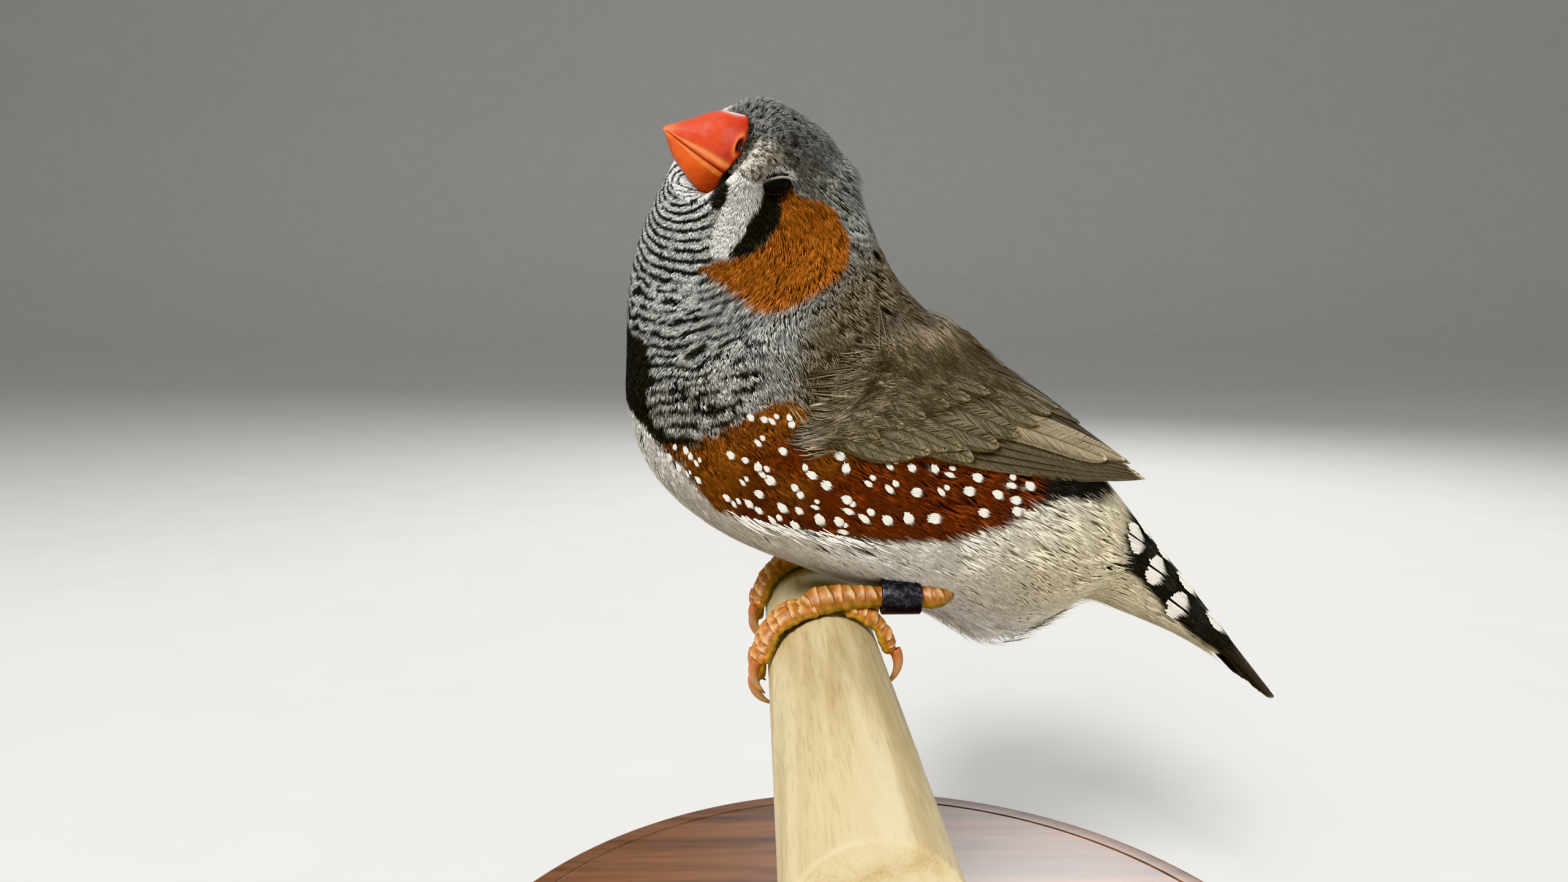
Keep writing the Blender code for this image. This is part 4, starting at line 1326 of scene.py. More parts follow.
    def paint_face(self, at: Canvas) -> None:
        """Paint lore, bristles, white stripe, cheek, the white rim under the eye and both black lines."""
        s, a = at.s, at.a
        lore = self.inside("lore", at, 0.9) * (1 - smooth((0.7 - s) / 0.5) * smooth((64 - a) / 6))
        speckle = smooth((ripple(at.points, 0.5, 9) - 0.1) / 0.2)
        at.lay(mixed(Hue.LORE.rgb, Hue.SPECKLE.rgb, 0.75 * speckle), lore)
        at.lay(Hue.BRISTLE, 0.8 * smooth((0.1 - s) / 0.25) * smooth((100 - a) / 10))
        at.lay(Hue.STRIPE, self.inside("stripe", at, 0.3), calm=0.55)
        red = np.clip(0.8 * smooth((3.3 - s) / 0.9), 0, 1)
        at.lay(mixed(Hue.CHEEK.rgb, Hue.CHEEK_RED.rgb, red), self.inside("cheek", at, 0.4), calm=0.1)
        x, y = self.eye_place(at.points)
        far = np.hypot(x / self.EYE_RIM[0], y / self.EYE_RIM[1])
        rim = smooth((1.3 - far) / 0.12 + 0.5) * smooth((y + 0.25) / 0.3)
        at.lay(Hue.STRIPE.rgb * 0.85, rim)
        for name in ("tear", "gape"):
            at.lay(Hue.BLACK, self.inside(name, at, 0.25), calm=0.6)


class Wisps(NamedTuple):
    """Long loose strands along a line of stations and angles over the flank's edge."""

    hue: Hue
    count: int
    stations: tuple[float, float]
    angles: tuple[float, float]
    length: float
    half_width: float
    lift: float


@dataclass
class Coat:
    """The skin and the strands that cover it.

    The rows of GROWTH are read at fractional stations: length, half width and depth of a strand in
    millimetres, strands to a feather, feather width, and strands to a square millimetre.
    """

    body: BodyShape
    markings: Markings
    seed: int = 20
    last_station: float = 13.6
    first_station: float = -0.45
    front_shorter: float = 0.45
    front_denser: float = 0.5
    cheek_longer: float = 0.5
    nape_thinner: float = 0.45
    eye_opening: tuple = (1.95, 1.3)
    eye_depth: float = 3.0

    GROWTH = (
        (0.80, 0.050, 0.25, 5, 0.6, 44.0),
        (1.20, 0.055, 0.40, 6, 0.8, 38.0),
        (1.60, 0.060, 0.55, 7, 1.0, 34.0),
        (2.00, 0.065, 0.70, 8, 1.2, 30.0),
        (2.40, 0.072, 0.85, 9, 1.4, 25.0),
        (2.90, 0.078, 1.05, 11, 1.6, 19.5),
        (3.30, 0.086, 1.20, 13, 1.9, 16.0),
        (3.80, 0.094, 1.30, 14, 2.1, 13.5),
        (4.40, 0.108, 1.40, 14, 2.3, 11.0),
        (5.20, 0.125, 1.40, 14, 2.6, 8.0),
        (6.00, 0.135, 1.30, 14, 2.8, 6.5),
        (6.40, 0.140, 1.10, 14, 2.8, 6.0),
        (6.40, 0.130, 0.80, 12, 2.4, 6.0),
        (5.60, 0.105, 0.60, 12, 1.8, 6.0),
        (4.60, 0.100, 0.40, 10, 1.5, 7.0),
        (3.00, 0.100, 0.20, 10, 1.5, 7.0),
    )
    WISPS = (Wisps(Hue.BELLY, 70, (7.7, 8.7), (138, 114), 4.4, 0.07, 0.2),
             Wisps(Hue.BLACK, 16, (7.8, 8.6), (132, 114), 4.0, 0.05, 0.32),
             Wisps(Hue.WING_EDGE, 26, (6.7, 7.5), (92, 84), 4.4, 0.035, 0.3))
    # Tables of (station, angle in degrees): where the barred front starts, and the strip that the
    # folded wing covers
    FRONT_FROM = ((2.4, 96), (3.0, 124), (3.4, 122), (4.4, 106), (5.3, 88))
    WING_LOWER = ((6.3, 60), (6.8, 80), (7.3, 84), (8.1, 68), (8.8, 50), (9.4, 30), (9.9, 14), (10.6, 0))
    WING_UPPER = ((6.3, 60), (6.8, 34), (7.5, 26), (8.5, 20), (9.4, 14))
    # Turns of the lie: degrees, the station and angle of each turn's middle, and its reach in both
    TURNS = ((34, 2.2, 104, 1.1, 28), (24, 4.0, 105, 1.3, 30), (-12, 4.3, 50, 1.0, 20),
             (-14, 9.4, 40, 0.9, 16), (18, 6.6, 80, 0.6, 14))
    PIECES = (("coat_face", -1.0, 1.2), ("coat_cheek", 1.2, 2.1), ("coat_crown", 2.1, 3.0),
              ("coat_hindhead", 3.0, 4.0), ("coat_neck", 4.0, 5.1), ("coat_breast", 5.1, 6.3),
              ("coat_shoulder", 6.3, 7.5), ("coat_flank", 7.5, 8.8), ("coat_belly", 8.8, 15.0))
    SLOTS = {"coat_neck": "feathers_breast", "coat_breast": "feathers_breast",
             "coat_shoulder": "feathers_breast", "coat_flank": "feathers_body",
             "coat_belly": "feathers_body"}

    def depth(self, station: np.ndarray) -> np.ndarray:
        """Return how deep the skin lies under the outline."""
        return through(self.GROWTH, station)[..., 2]

    @staticmethod
    def front(station: np.ndarray, angle: np.ndarray) -> np.ndarray:
        """Return 1 on the barred throat and breast, where the coat is short and dense."""
        past = folded(angle) - read(Coat.FRONT_FROM, station)
        return smooth(past / 14) * smooth((6.9 - station) / 0.4)

    @staticmethod
    def cheek(station: np.ndarray, angle: np.ndarray) -> np.ndarray:
        """Return 1 on the cheek, where the strands are long, easing to 0 around it."""
        a = folded(angle)
        return (smooth((station - 2.6) / 0.6) * smooth((5.2 - station) / 0.5)
                * smooth((a - 45) / 15) * smooth((125 - a) / 15))

    @staticmethod
    def lift(station: np.ndarray, angle: np.ndarray, rng: np.random.Generator) -> np.ndarray:
        """Return how far the tips stand up: tufts on the forehead, a crest behind, a loose vent."""
        a = folded(angle)
        tuft = 0.45 * np.exp(-((station - 0.1) / 0.5) ** 2) * smooth((60 - a) / 30)
        crest = 1.25 * np.exp(-((station - 3.55) / 0.3) ** 2) * smooth((60 - a) / 30)
        vent = 2.6 * smooth((a - 130) / 30) * np.exp(-((station - 11.0) / 0.8) ** 2)
        loose = rng.random(station.shape)
        return 0.08 + tuft * (0.5 + 0.5 * loose) + crest + vent * loose ** 2

    def skin(self, material) -> None:
        """Make the one skin of head, neck, trunk and tail root.

        Formula: the body's outline moved inwards by the coat's depth, closed at both ends.
        """
        stations = np.concatenate([np.linspace(-BodyShape.RIM, 5, 100), np.linspace(5, 14.0, 90)[1:]])
        grid = np.broadcast_arrays(stations[:, None], circle(200)[None, :])
        points, faces = Build.loft(self.body.at(*grid, -self.depth(grid[0])))
        colour = self.markings.paint(*grid)[0]
        # The skin is painted darker, as shade in the gaps between strands, less so under pale plumage.
        colour = colour * (0.6 + 0.35 * smooth(colour.mean(-1, keepdims=True) * 2 - 0.6))
        Build.piece("skin", points, faces, material, "feathers_body", ("head", "neck", "trunk", "tail"),
                    Build.capped(colour), Build.capped(BodyShape.unwrap(*grid)))

    def density(self, station: np.ndarray, angle: np.ndarray) -> np.ndarray:
        """Return the feathers to a square millimetre: fewer on the nape, none under the wings."""
        growth = through(self.GROWTH, station)
        a = folded(angle)
        lower, upper = read(self.WING_LOWER, station), read(self.WING_UPPER, station)
        covered = (a < lower - 8) & (a > upper + 8) & (station > 6.5) & (station < 9.9)
        nape = smooth((112 - a) / 30) * smooth((station - 2.6) / 1.2)
        front = 1 + self.front_denser * self.front(station, angle)
        return growth[..., 5] / growth[..., 3] * (1 - covered) * (1 - self.nape_thinner * nape) * front

    @staticmethod
    def lie(station: np.ndarray, angle: np.ndarray) -> np.ndarray:
        """Return the turn of the strands from the body's length towards the belly, in radians."""
        a = folded(angle)
        turned = 0.0
        for turn_by, s, at, wide, tall in Coat.TURNS:
            turned = turned + turn_by * np.exp(-((station - s) / wide) ** 2 - ((a - at) / tall) ** 2)
        return np.radians(turned) * np.where(angle > pi, -1.0, 1.0)

    def strands(self, material) -> None:
        """Grow the coat over the whole body, with crisp ovals for the flank's spots."""
        rng = np.random.default_rng(self.seed)
        s, a = self.body.sow((self.first_station, self.last_station), (0, 2 * pi), self.density, rng)
        fans = Fans(self.body, BodyShape.unwrap, self.markings.paint, rng, ragged=0.65, loose=0.8)
        growth = through(self.GROWTH, s)[:, :5]
        growth[:, 0] *= 1 - self.front_shorter * self.front(s, a)
        growth[:, 0] *= 1 + self.cheek_longer * self.cheek(s, a)
        grown = fans.grow(s, a, growth, self.lie(s, a), self.lift(s, a, rng))
        keep = self.clear_of_eyes(*grown.tip) & self.clear_of_eyes(grown.a, grown.b)
        for name, first, last in self.PIECES:
            bundle = Strands()
            bundle.add(*grown.only(keep & (grown.a >= first) & (grown.a < last)))
            if name == "coat_flank":
                lay_ovals(bundle, self.body, self.markings.ovals, self.lie, rng)
                for wisp in self.WISPS:
                    self.wisps(bundle, wisp, rng)
            bundle.piece(name, material, self.SLOTS.get(name, "feathers_head"))

    def wisps(self, bundle: Strands, wisp: Wisps, rng: np.random.Generator) -> None:
        """Lay long loose strands over the flank's edges, on both sides."""
        hue, count, stations, angles, length, half_width, lift = wisp
        for side in (1, -1):
            share = rng.random(count)
            s = graded(stations, share) + rng.normal(0, 0.04, count)
            a = np.radians(graded(angles, share) + rng.normal(0, 1.6, count)) * side
            heading = self.lie(s, a) - side * (0.12 + 0.1 * rng.normal(0, 1, count))
            reach = length * (1 + 0.2 * rng.normal(0, 1, count).clip(-2, 2))
            ends = [(s, a), self.body.go(s, a, heading, 0.5 * reach),
                    self.body.go(s, a, heading + 0.08 * side * rng.normal(0, 1, count), reach)]
            heights = np.array([0.0, lift, 0.8 * lift])[:, None] + 0.08 * rng.random((3, count))
            tint = hue.rgb * (1 + 0.15 * rng.normal(0, 1, (count, 1, 1))) * np.ones((1, 3, 1))
            widths = np.array([0.8, 1.0]) * half_width * np.ones((count, 1))
            bundle.add(self.body.path(ends, heights), self.body.normal(*ends[1]), widths, tint,
                       BodyShape.unwrap(s, a))

    def clear_of_eyes(self, station: np.ndarray, angle: np.ndarray) -> np.ndarray:
        """Return which places stay clear of the eyes' openings."""
        points = in_head(self.body.at(station, angle))
        keep = np.ones(len(points), bool)
        for side in (1, -1):
            away = points - EYE_FRONT * (1, side, 1)
            x, y = away @ Eye.LONG_WAY, away @ Eye.SHORT_WAY
            far = np.hypot(x / self.eye_opening[0], y / self.eye_opening[1])
            keep &= ~((far < 1) & (np.abs(away[:, 1]) < self.eye_depth))
        return keep


def lay_ovals(bundle: Strands, body: BodyShape, ovals: list, lie: Callable,
              rng: np.random.Generator, raised: float = 0.0, split: float = 0.0) -> None:
    """Lay white ovals on both sides, each as barbs side by side cut to its outline.

    Args:
        bundle: takes the barbs.
        body: the body.
        ovals: station, angle, lean, half length and half width of each on the left.
        lie: gives the heading of the coat at (station, angle).
        rng: the source of the draws.
        raised: how far the ovals stand over the coat's tips, in millimetres.
        split: the half width of a dark gap down the middle, in shares of the half width.
    """
    across = np.linspace(-0.93, 0.93, 13)
    across = across[np.abs(across) > split]
    ones = np.ones(len(across))
    for s, a, lean, long, wide in ovals:
        for side in (1, -1):
            heading = (lie(np.array(s), np.array(a)) + lean) * side
            centre = body.go(s * ones, side * a * ones, heading + pi / 2, across * wide)
            reach = long * np.sqrt(1 - across ** 2) * (1 + 0.14 * rng.normal(0, 1, len(across)))
            ends = [body.go(*centre, heading, reach * step) for step in (-1.0, 0.35, 1.0)]
            lift = np.array([0.02, 0.16, 0.1])[:, None] + raised
            tone = (1 + 0.08 * rng.normal(0, 1, (len(across), 1, 1))) * np.ones((1, 3, 1))
            widths = np.array([0.09, 0.115]) * wide * ones[:, None]
            bundle.add(body.path(ends, lift), body.normal(*centre), widths, Hue.SPOT.rgb * tone,
                       BodyShape.unwrap(*centre))


@dataclass(frozen=True)
class Look:
    """How a vaned feather is shaped, barbed and coloured.

    The edge's colour starts at edge_from of the half width and fills the fringe at the tip. The
    vane closes from round_from of the length on. Spacing is the barbs', camber the bow over the
    width and sink the drop of the root, all three in millimetres. Contrast is from barb to barb.
    """

    centre: Hue = Hue.WING
    edge: Hue = Hue.WING_EDGE
    edge_from: float = 0.5
    fringe: float = 0.12
    spacing: float = 0.21
    barb_angle: float = 24.0
    round_from: float = 0.55
    tip_power: float = 2.2
    fuzz: float = 0.05
    contrast: float = 0.22
    dark_shaft: float = 0.75
    camber: float = 0.08
    sink: float = 0.0


class Row(NamedTuple):
    """A row of feathers, each measure going from the first feather's to the last's.

    Roots, middles and tips are curves of places that the feathers' own follow. The half widths and
    the heights over the carpet are in millimetres.
    """

    count: int
    roots: tuple
    middles: tuple
    tips: tuple
    half_width: tuple[float, float]
    height: tuple[float, float]
    look: Look


class Plumes:
    """Lays vaned feathers on a carpet: two rows of barbs on a shaft over a thin plate."""

    PLATE = np.array([-0.92, -0.46, 0.0, 0.46, 0.92])
    PLATE_TOP, PLATE_UNDER = -0.02, -0.1
    SHAFT_RADII = (0.14, 0.04)
    SCATTER = 0.008

    def __init__(self, carpet: Carpet, unwrap: Callable, rng: np.random.Generator) -> None:
        """Start with no feathers."""
        self.carpet, self.unwrap, self.rng = carpet, unwrap, rng
        self.barbs = Strands()
        self.solids: list[tuple] = []

    def lay(self, shaft: tuple, half_width: float, height: float, look: Look) -> None:
        """Lay one feather.

        Formula: the shaft is a smooth curve through its places. The vane's half width grows from the
        root, then holds, then closes on the tip along a rounded curve. A barb leaves the shaft at the
        barb angle and ends on the vane's edge.

        Args:
            shaft: places on the carpet from root to tip.
            half_width: of the vane, in millimetres.
            height: of the feather over the carpet, in millimetres.
            look: its shape and colours.
        """
        u = np.linspace(0, 1, 41)
        a, b = through(shaft, u * (len(shaft) - 1)).T
        points = self.carpet.at(a, b)
        share = np.concatenate([[0], np.cumsum(np.linalg.norm(np.diff(points, axis=0), axis=1))])
        length = share[-1]
        share = share / length
        ways = np.gradient(points, axis=0)
        turned = np.unwrap(self.carpet.heading(a, b, ways))

        def width(v: np.ndarray) -> np.ndarray:
            """Return the vane's half width along the shaft."""
            closing = np.clip((v - look.round_from) / (1 - look.round_from), 0, 1)
            shape = np.minimum(1, 0.4 + 2 * v) * (1 - closing ** look.tip_power) ** 0.5
            return half_width * shape

        def spot(v: np.ndarray, off: np.ndarray, lift: np.ndarray) -> tuple:
            """Return a point beside the shaft and its place on the carpet."""
            place = (np.interp(v, share, a), np.interp(v, share, b))
            place = self.carpet.go(*place, np.interp(v, share, turned) + pi / 2, off)
            bow = look.camber * (1 - (off / half_width) ** 2) - look.sink * (1 - v) ** 3
            return self.carpet.at(*place, height + lift + bow), place

        count = max(8, int(length / look.spacing))
        v0 = np.tile((np.arange(count) + 0.5) / count, 2)
        side = np.repeat([1.0, -1.0], count)
        noise = self.rng.normal(0, 1, (2 * count, 4)).clip(-2, 2)
        reach = width(v0) / length / np.tan(radians(look.barb_angle))
        v1 = v0 + (1 - v0) * (1 - np.exp(-reach / (1 - v0))) * (1 + look.fuzz * noise[:, 0])
        v1 = np.minimum(v1, 0.999)
        vm = v0 + 0.5 * (v1 - v0)
        off_tip = side * width(v1) * (1 + look.fuzz * noise[:, 1])
        root, place = spot(v0, 0 * side, 0.05)
        middle, _ = spot(vm, side * 0.58 * width(vm), 0.05)
        tip, _ = spot(v1, off_tip, -0.04 + 0.1 * look.fuzz * noise[:, 3])
        tones = 1 + look.contrast * noise[:, 2] * np.ones((3, 1))
        tint = np.stack([self.tint(v, q + 0 * v, look) * tone[:, None] for v, q, tone in
                         zip((v0, vm, v1), (0.0, 0.58, 1.0), tones)], 1)
        widths = np.stack([np.full(2 * count, 0.42), 0.46 + 0.04 * noise[:, 0]], 1) * look.spacing
        self.barbs.add(np.stack([root, middle, tip], 1), self.carpet.normal(*place), widths, tint,
                       self.unwrap(*place))
        self.plate(spot, width, look)

    @staticmethod
    def tint(v: np.ndarray, q: np.ndarray, look: Look) -> np.ndarray:
        """Return colours along the shaft by v, and from shaft to edge by q."""
        edge = smooth((q - look.edge_from) / max(1 - look.edge_from, 0.05)) * smooth(v / 0.3)
        edge = np.maximum(edge, smooth((v - 1 + look.fringe) / max(look.fringe, 0.01)))
        colour = mixed(look.centre.rgb, look.edge.rgb, edge)
        return colour * (look.dark_shaft + (1 - look.dark_shaft) * smooth(q / 0.4))[:, None]

    def plate(self, spot: Callable, width: Callable, look: Look) -> None:
        """Add the thin plate under the barbs, and the shaft."""
        v, q = np.meshgrid(np.linspace(0.0, 0.995, 15), self.PLATE, indexing="ij")
        off = q * width(v)
        top, place = spot(v, off, self.PLATE_TOP)
        under, _ = spot(v, off, self.PLATE_UNDER)
        # The plate is painted darker than the barbs, as shade under them.
        colour = self.tint(v.ravel(), np.abs(q).ravel(), look).reshape(*v.shape, 3) * 0.62
        self.solids.append(Build.sheet(top, under, colour, self.unwrap(*place)))
        v = np.linspace(0.02, 0.97, 16)
        middle, place = spot(v, 0 * v, 0.1)
        radius = np.linspace(*self.SHAFT_RADII, 16)[:, None] * np.ones((1, 4))
        points, faces = Build.tube(middle, radius, self.carpet.normal(*place))
        colour = np.broadcast_to(look.centre.rgb * 0.6, points.shape)
        places = Build.capped(np.repeat(self.unwrap(*place), 4, axis=0))
        self.solids.append((points, faces, colour, places))

    def rows(self, rows: tuple[Row, ...]) -> None:
        """Lay rows of feathers, with a little scatter of their places."""
        for row in rows:
            for share in np.linspace(0, 1, row.count):
                shaft = np.array([through(curve, share * (len(curve) - 1))
                                  for curve in (row.roots, row.middles, row.tips)])
                shaft = shaft + self.rng.normal(0, self.SCATTER, shaft.shape)
                self.lay(shaft, graded(row.half_width, share), graded(row.height, share), row.look)

    def pieces(self, name: str, material, slot: str, replaces: tuple = (), mirror: int = 1) -> None:
        """Make one piece of all feathers laid so far, as laid or mirrored to the right side."""
        points, faces, tints, places = self.barbs.arrays()
        solid_points, solid_faces, values = Build.joined([(points, [faces], tints, places)] + self.solids)
        Build.piece(name, solid_points * (1, mirror, 1), Build.facing(solid_faces, mirror), material, slot,
                    replaces, *values)


@dataclass
class Wing:
    """A folded wing: flight feathers, coverts over them, and mantle strands over its top and front."""

    shape: WingShape
    seed: int = 31
    core_depth: float = 1.25
    core_thickness: float = 0.5

    PRIMARY = Look(Hue.WING_DARK, Hue.WING_PALE, edge_from=0.5, fringe=0.04, spacing=0.3,
                   barb_angle=18, round_from=0.5, tip_power=1.3, fuzz=0.02, contrast=0.10)
    TERTIAL = Look(Hue.TERTIAL, Hue.WING_PALE, fringe=0.05, edge_from=0.5, round_from=0.6, barb_angle=24,
                   contrast=0.16, sink=0.3)
    TOP = Look(Hue.WING_DARK, Hue.WING_PALE, edge_from=0.8, fringe=0.03, round_from=0.45)
    COVERT = Look(Hue.COVERT, Hue.COVERT_EDGE, fringe=0.14, edge_from=0.7, round_from=0.45, barb_angle=20,
                  fuzz=0.16, contrast=0.26, dark_shaft=0.6, sink=0.4)
    # Primaries and secondaries, the upper over the lower, and the tertials on them
    FLIGHT = (
        Row(6, ((2.2, 0.06), (2.8, 0.34)), ((4.7, 0.06), (4.7, 0.34)),
            ((7.0, 0.0), (6.72, 0.3), (6.2, 0.62)), (1.2, 1.5), (-1.15, -0.85), PRIMARY),
        Row(3, ((2.9, 0.9), (2.9, 0.62)), ((4.5, 0.98), (4.5, 0.72)), ((5.6, 1.0), (6.3, 0.8)),
            (2.2, 2.4), (-0.85, -0.7), TOP),
        Row(2, ((2.5, 0.5), (2.5, 0.36)), ((4.5, 0.52), (4.4, 0.38)), ((6.1, 0.76), (5.5, 0.4)),
            (2.5, 2.3), (-0.6, -0.5), TERTIAL),
        Row(4, ((3.0, 0.70), (2.4, 1.0)), ((3.8, 0.82), (3.2, 1.04)), ((4.7, 0.96), (3.9, 1.08)),
            (1.5, 1.6), (-0.4, -0.25), TOP),
    )
    # Greater and middle coverts, whose tips show past the mantle's strands
    COVERTS = (
        Row(6, ((1.5, 0.2), (1.8, 0.5), (2.2, 0.86)), ((2.6, 0.12), (2.8, 0.42), (3.1, 0.84)),
            ((3.35, 0.05), (3.75, 0.36), (4.0, 0.86)), (2.3, 2.0), (-0.36, -0.22), COVERT),
        Row(5, ((0.6, 0.0), (1.3, 0.3)), ((1.7, 0.02), (2.2, 0.2)), ((2.5, -0.01), (3.1, 0.1)),
            (1.7, 1.7), (-0.26, -0.16), COVERT),
        Row(6, ((0.1, 0.14), (0.9, 0.6)), ((1.2, 0.12), (1.8, 0.58)), ((2.0, 0.08), (2.8, 0.54)),
            (1.6, 1.7), (-0.14, -0.06), COVERT),
    )
    # The mantle: as in Fans, what its upper strands are longer by, where and how densely they are
    # sown, and the places beyond which their tips are left out, by share of the wing's width
    MANTLE = (5.0, 0.09, 0.9, 13, 2.2)
    MANTLE_EXTRA = 1.6
    MANTLE_SPAN = ((-0.3, 3.3), (-0.25, 1.28))
    MANTLE_DENSITY = 0.75
    MANTLE_END = ((-0.3, 1.2), (0.0, 1.6), (0.12, 2.0), (0.3, 2.6), (0.5, 3.1), (0.75, 3.3),
                  (1.0, 2.95), (1.3, 2.6))

    def build(self, material) -> None:
        """Make both wings, the right as a mirror of the left."""
        rng = np.random.default_rng(self.seed)
        flight = Plumes(self.shape, WingShape.unwrap, rng)
        flight.rows(self.FLIGHT)
        coverts = Plumes(self.shape, WingShape.unwrap, rng)
        coverts.rows(self.COVERTS)
        self.mantle(coverts.barbs, rng)
        for word, side in (("left", 1), ("right", -1)):
            self.core(f"wing_{word}_core", material, side, "wing_" + word)
            flight.pieces(f"wing_{word}_flight", material, "feathers_wing", mirror=side)
            coverts.pieces(f"wing_{word}_coverts", material, "feathers_wing", mirror=side)

    def mantle(self, bundle: Strands, rng: np.random.Generator) -> None:
        """Grow the long fine strands that run from the back over the wing's top and front."""
        fans = Fans(self.shape, WingShape.unwrap, self.paint, rng, ragged=0.35, loose=0.2)
        a, b = self.shape.sow(*self.MANTLE_SPAN, lambda *_: self.MANTLE_DENSITY, rng)
        upper = smooth((b - 0.05) / 0.5)
        growth = np.tile(self.MANTLE, (len(a), 1))
        growth[:, 0] += self.MANTLE_EXTRA * upper
        way = unit(np.stack([0.86 - 0.16 * upper, 0 * a, -0.5 - 0.2 * upper], -1))
        grown = fans.grow(a, b, growth, self.shape.heading(a, b, way), 0.16 + 0.1 * rng.random(len(a)))
        end, low = grown.tip
        ragged = 0.35 * rng.normal(0, 1, len(end)).clip(-2, 1)
        ragged = ragged + 0.2 * ripple(self.shape.at(end, low), 2.0, 25)
        keep = (end < read(self.MANTLE_END, low) + 0.6 * ragged) & (low > -0.06)
        bundle.add(*grown.only(keep))

    def paint(self, place: np.ndarray, t: np.ndarray, jitter: np.ndarray) -> tuple:
        """Return the mantle's colour and its contrast.

        Formula: brown, greyer at the front and top, with the soft outlines of lapping round
        feathers: rows along the lie, each row set half a feather over, a light rim at each tip and
        painted shade on the next row just behind it.
        """
        points = self.shape.at(place, t)
        along = (points @ np.array([0.78, 0.0, -0.63])) / 3.1 + 0.25 * ripple(points, 5.0, 23)
        over = (points @ np.array([0.63, 0.0, 0.78])) / 2.7 + 0.2 * ripple(points, 4.0, 24)
        shape = (np.mod(over + 0.5 * np.mod(np.floor(along), 2), 1) * 2 - 1) ** 2
        row = np.floor(along + 0.3 * shape)
        shape = (np.mod(over + 0.5 * np.mod(row, 2), 1) * 2 - 1) ** 2
        share = along + 0.3 * shape - row
        rim = smooth((share - 0.7) / 0.15) * (share < 1)
        low = smooth((0.85 - t) / 0.45) * smooth((place + 0.8) / 0.5)
        grey = smooth((2 - points[..., 0] + 1.5 * jitter[..., 0]) / 5)
        colour = mixed(Hue.WING.rgb, Hue.NAPE.rgb, 0.2 * grey)
        front = smooth((1.5 - place) / 0.9)
        colour = colour * (1 - front * (0.25 + 0.3 * smooth((t - 0.7) / 0.3)))[..., None]
        light = smooth(0.5 + 0.8 * ripple(points, 2.4, 21))
        colour = mixed(colour, Hue.WING_PALE.rgb, 0.08 * light + 0.5 * rim * low)
        # Painted shade on each row just behind the tips of the row before, strongest low on the wing.
        colour = colour * (1 - 0.55 * smooth((0.55 - share) / 0.5) * (0.2 + 0.8 * low))[..., None]
        return colour, np.full(place.shape, 0.26)

    def core(self, name: str, material, side: int, replaces: str) -> None:
        """Make the wing's inside, a thin blade under the feathers, painted dark as shade between them."""
        place, t = np.meshgrid(np.linspace(0, 6.8, 40), np.linspace(0.04, 0.96, 14), indexing="ij")
        outer = self.shape.at(place, t, -self.core_depth)
        inner = self.shape.at(place, t, -self.core_depth - self.core_thickness)
        # Painted shade: a dark blade that shows in the gaps between the feathers.
        colour = np.broadcast_to(Hue.WING_DARK.rgb * 0.7, outer.shape)
        mirror = (1, side, 1)
        points, faces, *values = Build.sheet(outer * mirror, inner * mirror, colour,
                                             WingShape.unwrap(place, t))
        Build.piece(name, points, faces, material, "feathers_wing", (replaces,), *values)


@dataclass
class Tail:
    """The tail: folded flight feathers, and black coverts with white blotches over them.

    A row of COVERTS has the stations of a feather's root and tip, the angles of both in degrees and
    its half width. A row of BLOTCHES has a station, an angle, and a half length and half width.
    """

    body: BodyShape
    seed: int = 47

    BLOTCHES = ((11.3, 42, 2.0, 1.9), (12.3, 61, 1.9, 1.9), (12.98, 82, 1.8, 1.7),
                (11.62, 20, 1.6, 1.2), (12.32, 26, 1.5, 1.1), (12.95, 36, 2.1, 1.3), (13.6, 50, 2.1, 1.3))
    COVERTS = ((11.4, 13.4, 66, 82, 1.8), (10.8, 12.8, 48, 62, 2.0), (11.0, 13.7, 46, 60, 1.9),
               (10.8, 14.0, 20, 34, 2.0), (10.7, 13.0, 14, 16, 2.0), (10.7, 12.2, 36, 44, 2.1))
    VANE = Look(Hue.TAIL, Hue.TAIL_EDGE, edge_from=0.8, fringe=0.03, spacing=0.26, barb_angle=20,
                round_from=0.86, tip_power=2.6, fuzz=0.06, contrast=0.22)
    COVERT = Look(Hue.BLACK, Hue.BLACK, spacing=0.2, barb_angle=28, round_from=0.6, fuzz=0.05,
                  contrast=0.2, camber=0.1, sink=2.2)

    def build(self, material) -> None:
        """Make the tail, its outer feathers first."""
        rng = np.random.default_rng(self.seed)
        quills = Plumes(self.body, BodyShape.unwrap, rng)
        for side in (1, -1):
            for share in np.linspace(1, 0, 6):
                a = radians(16 + 64 * share) * side
                quills.lay(((11.9, a), (13.6, a * 0.98), (15.0 - 0.22 * share, a * 0.95)),
                           2.5 - 0.6 * share, -0.5 + 0.35 * (1 - share), self.VANE)
        quills.pieces("tail_quills", material, "feathers_tail")
        coverts = Plumes(self.body, BodyShape.unwrap, rng)
        for side in (1, -1):
            for root, tip, at, end, wide in self.COVERTS:
                coverts.lay(((root, radians(at) * side), ((root + tip) / 2, radians(at + end) / 2 * side),
                             (tip, radians(end) * side)), wide, -0.004 * at, self.COVERT)
        ovals = [(s, radians(a), 0.0, long, wide) for s, a, long, wide in self.BLOTCHES]
        lay_ovals(coverts.barbs, self.body, ovals, lambda s, a: 0.0 * s, rng, 0.2, 0.05)
        coverts.pieces("tail_coverts", material, "feathers_tail")


class Mandible(NamedTuple):
    """Half of the bill: the rear end of its ridge, its curves and its colours.

    Bow is the ridge's height over a straight line, from base to tip, rear how far its edge is set
    back round half a section, from mouth to ridge, and hang how much lower its sides hang behind.
    """

    name: str
    sign: int
    base: tuple
    bow: tuple
    rear: tuple
    hang: float
    spread_power: float
    rise_power: float
    colours: tuple[str, str]


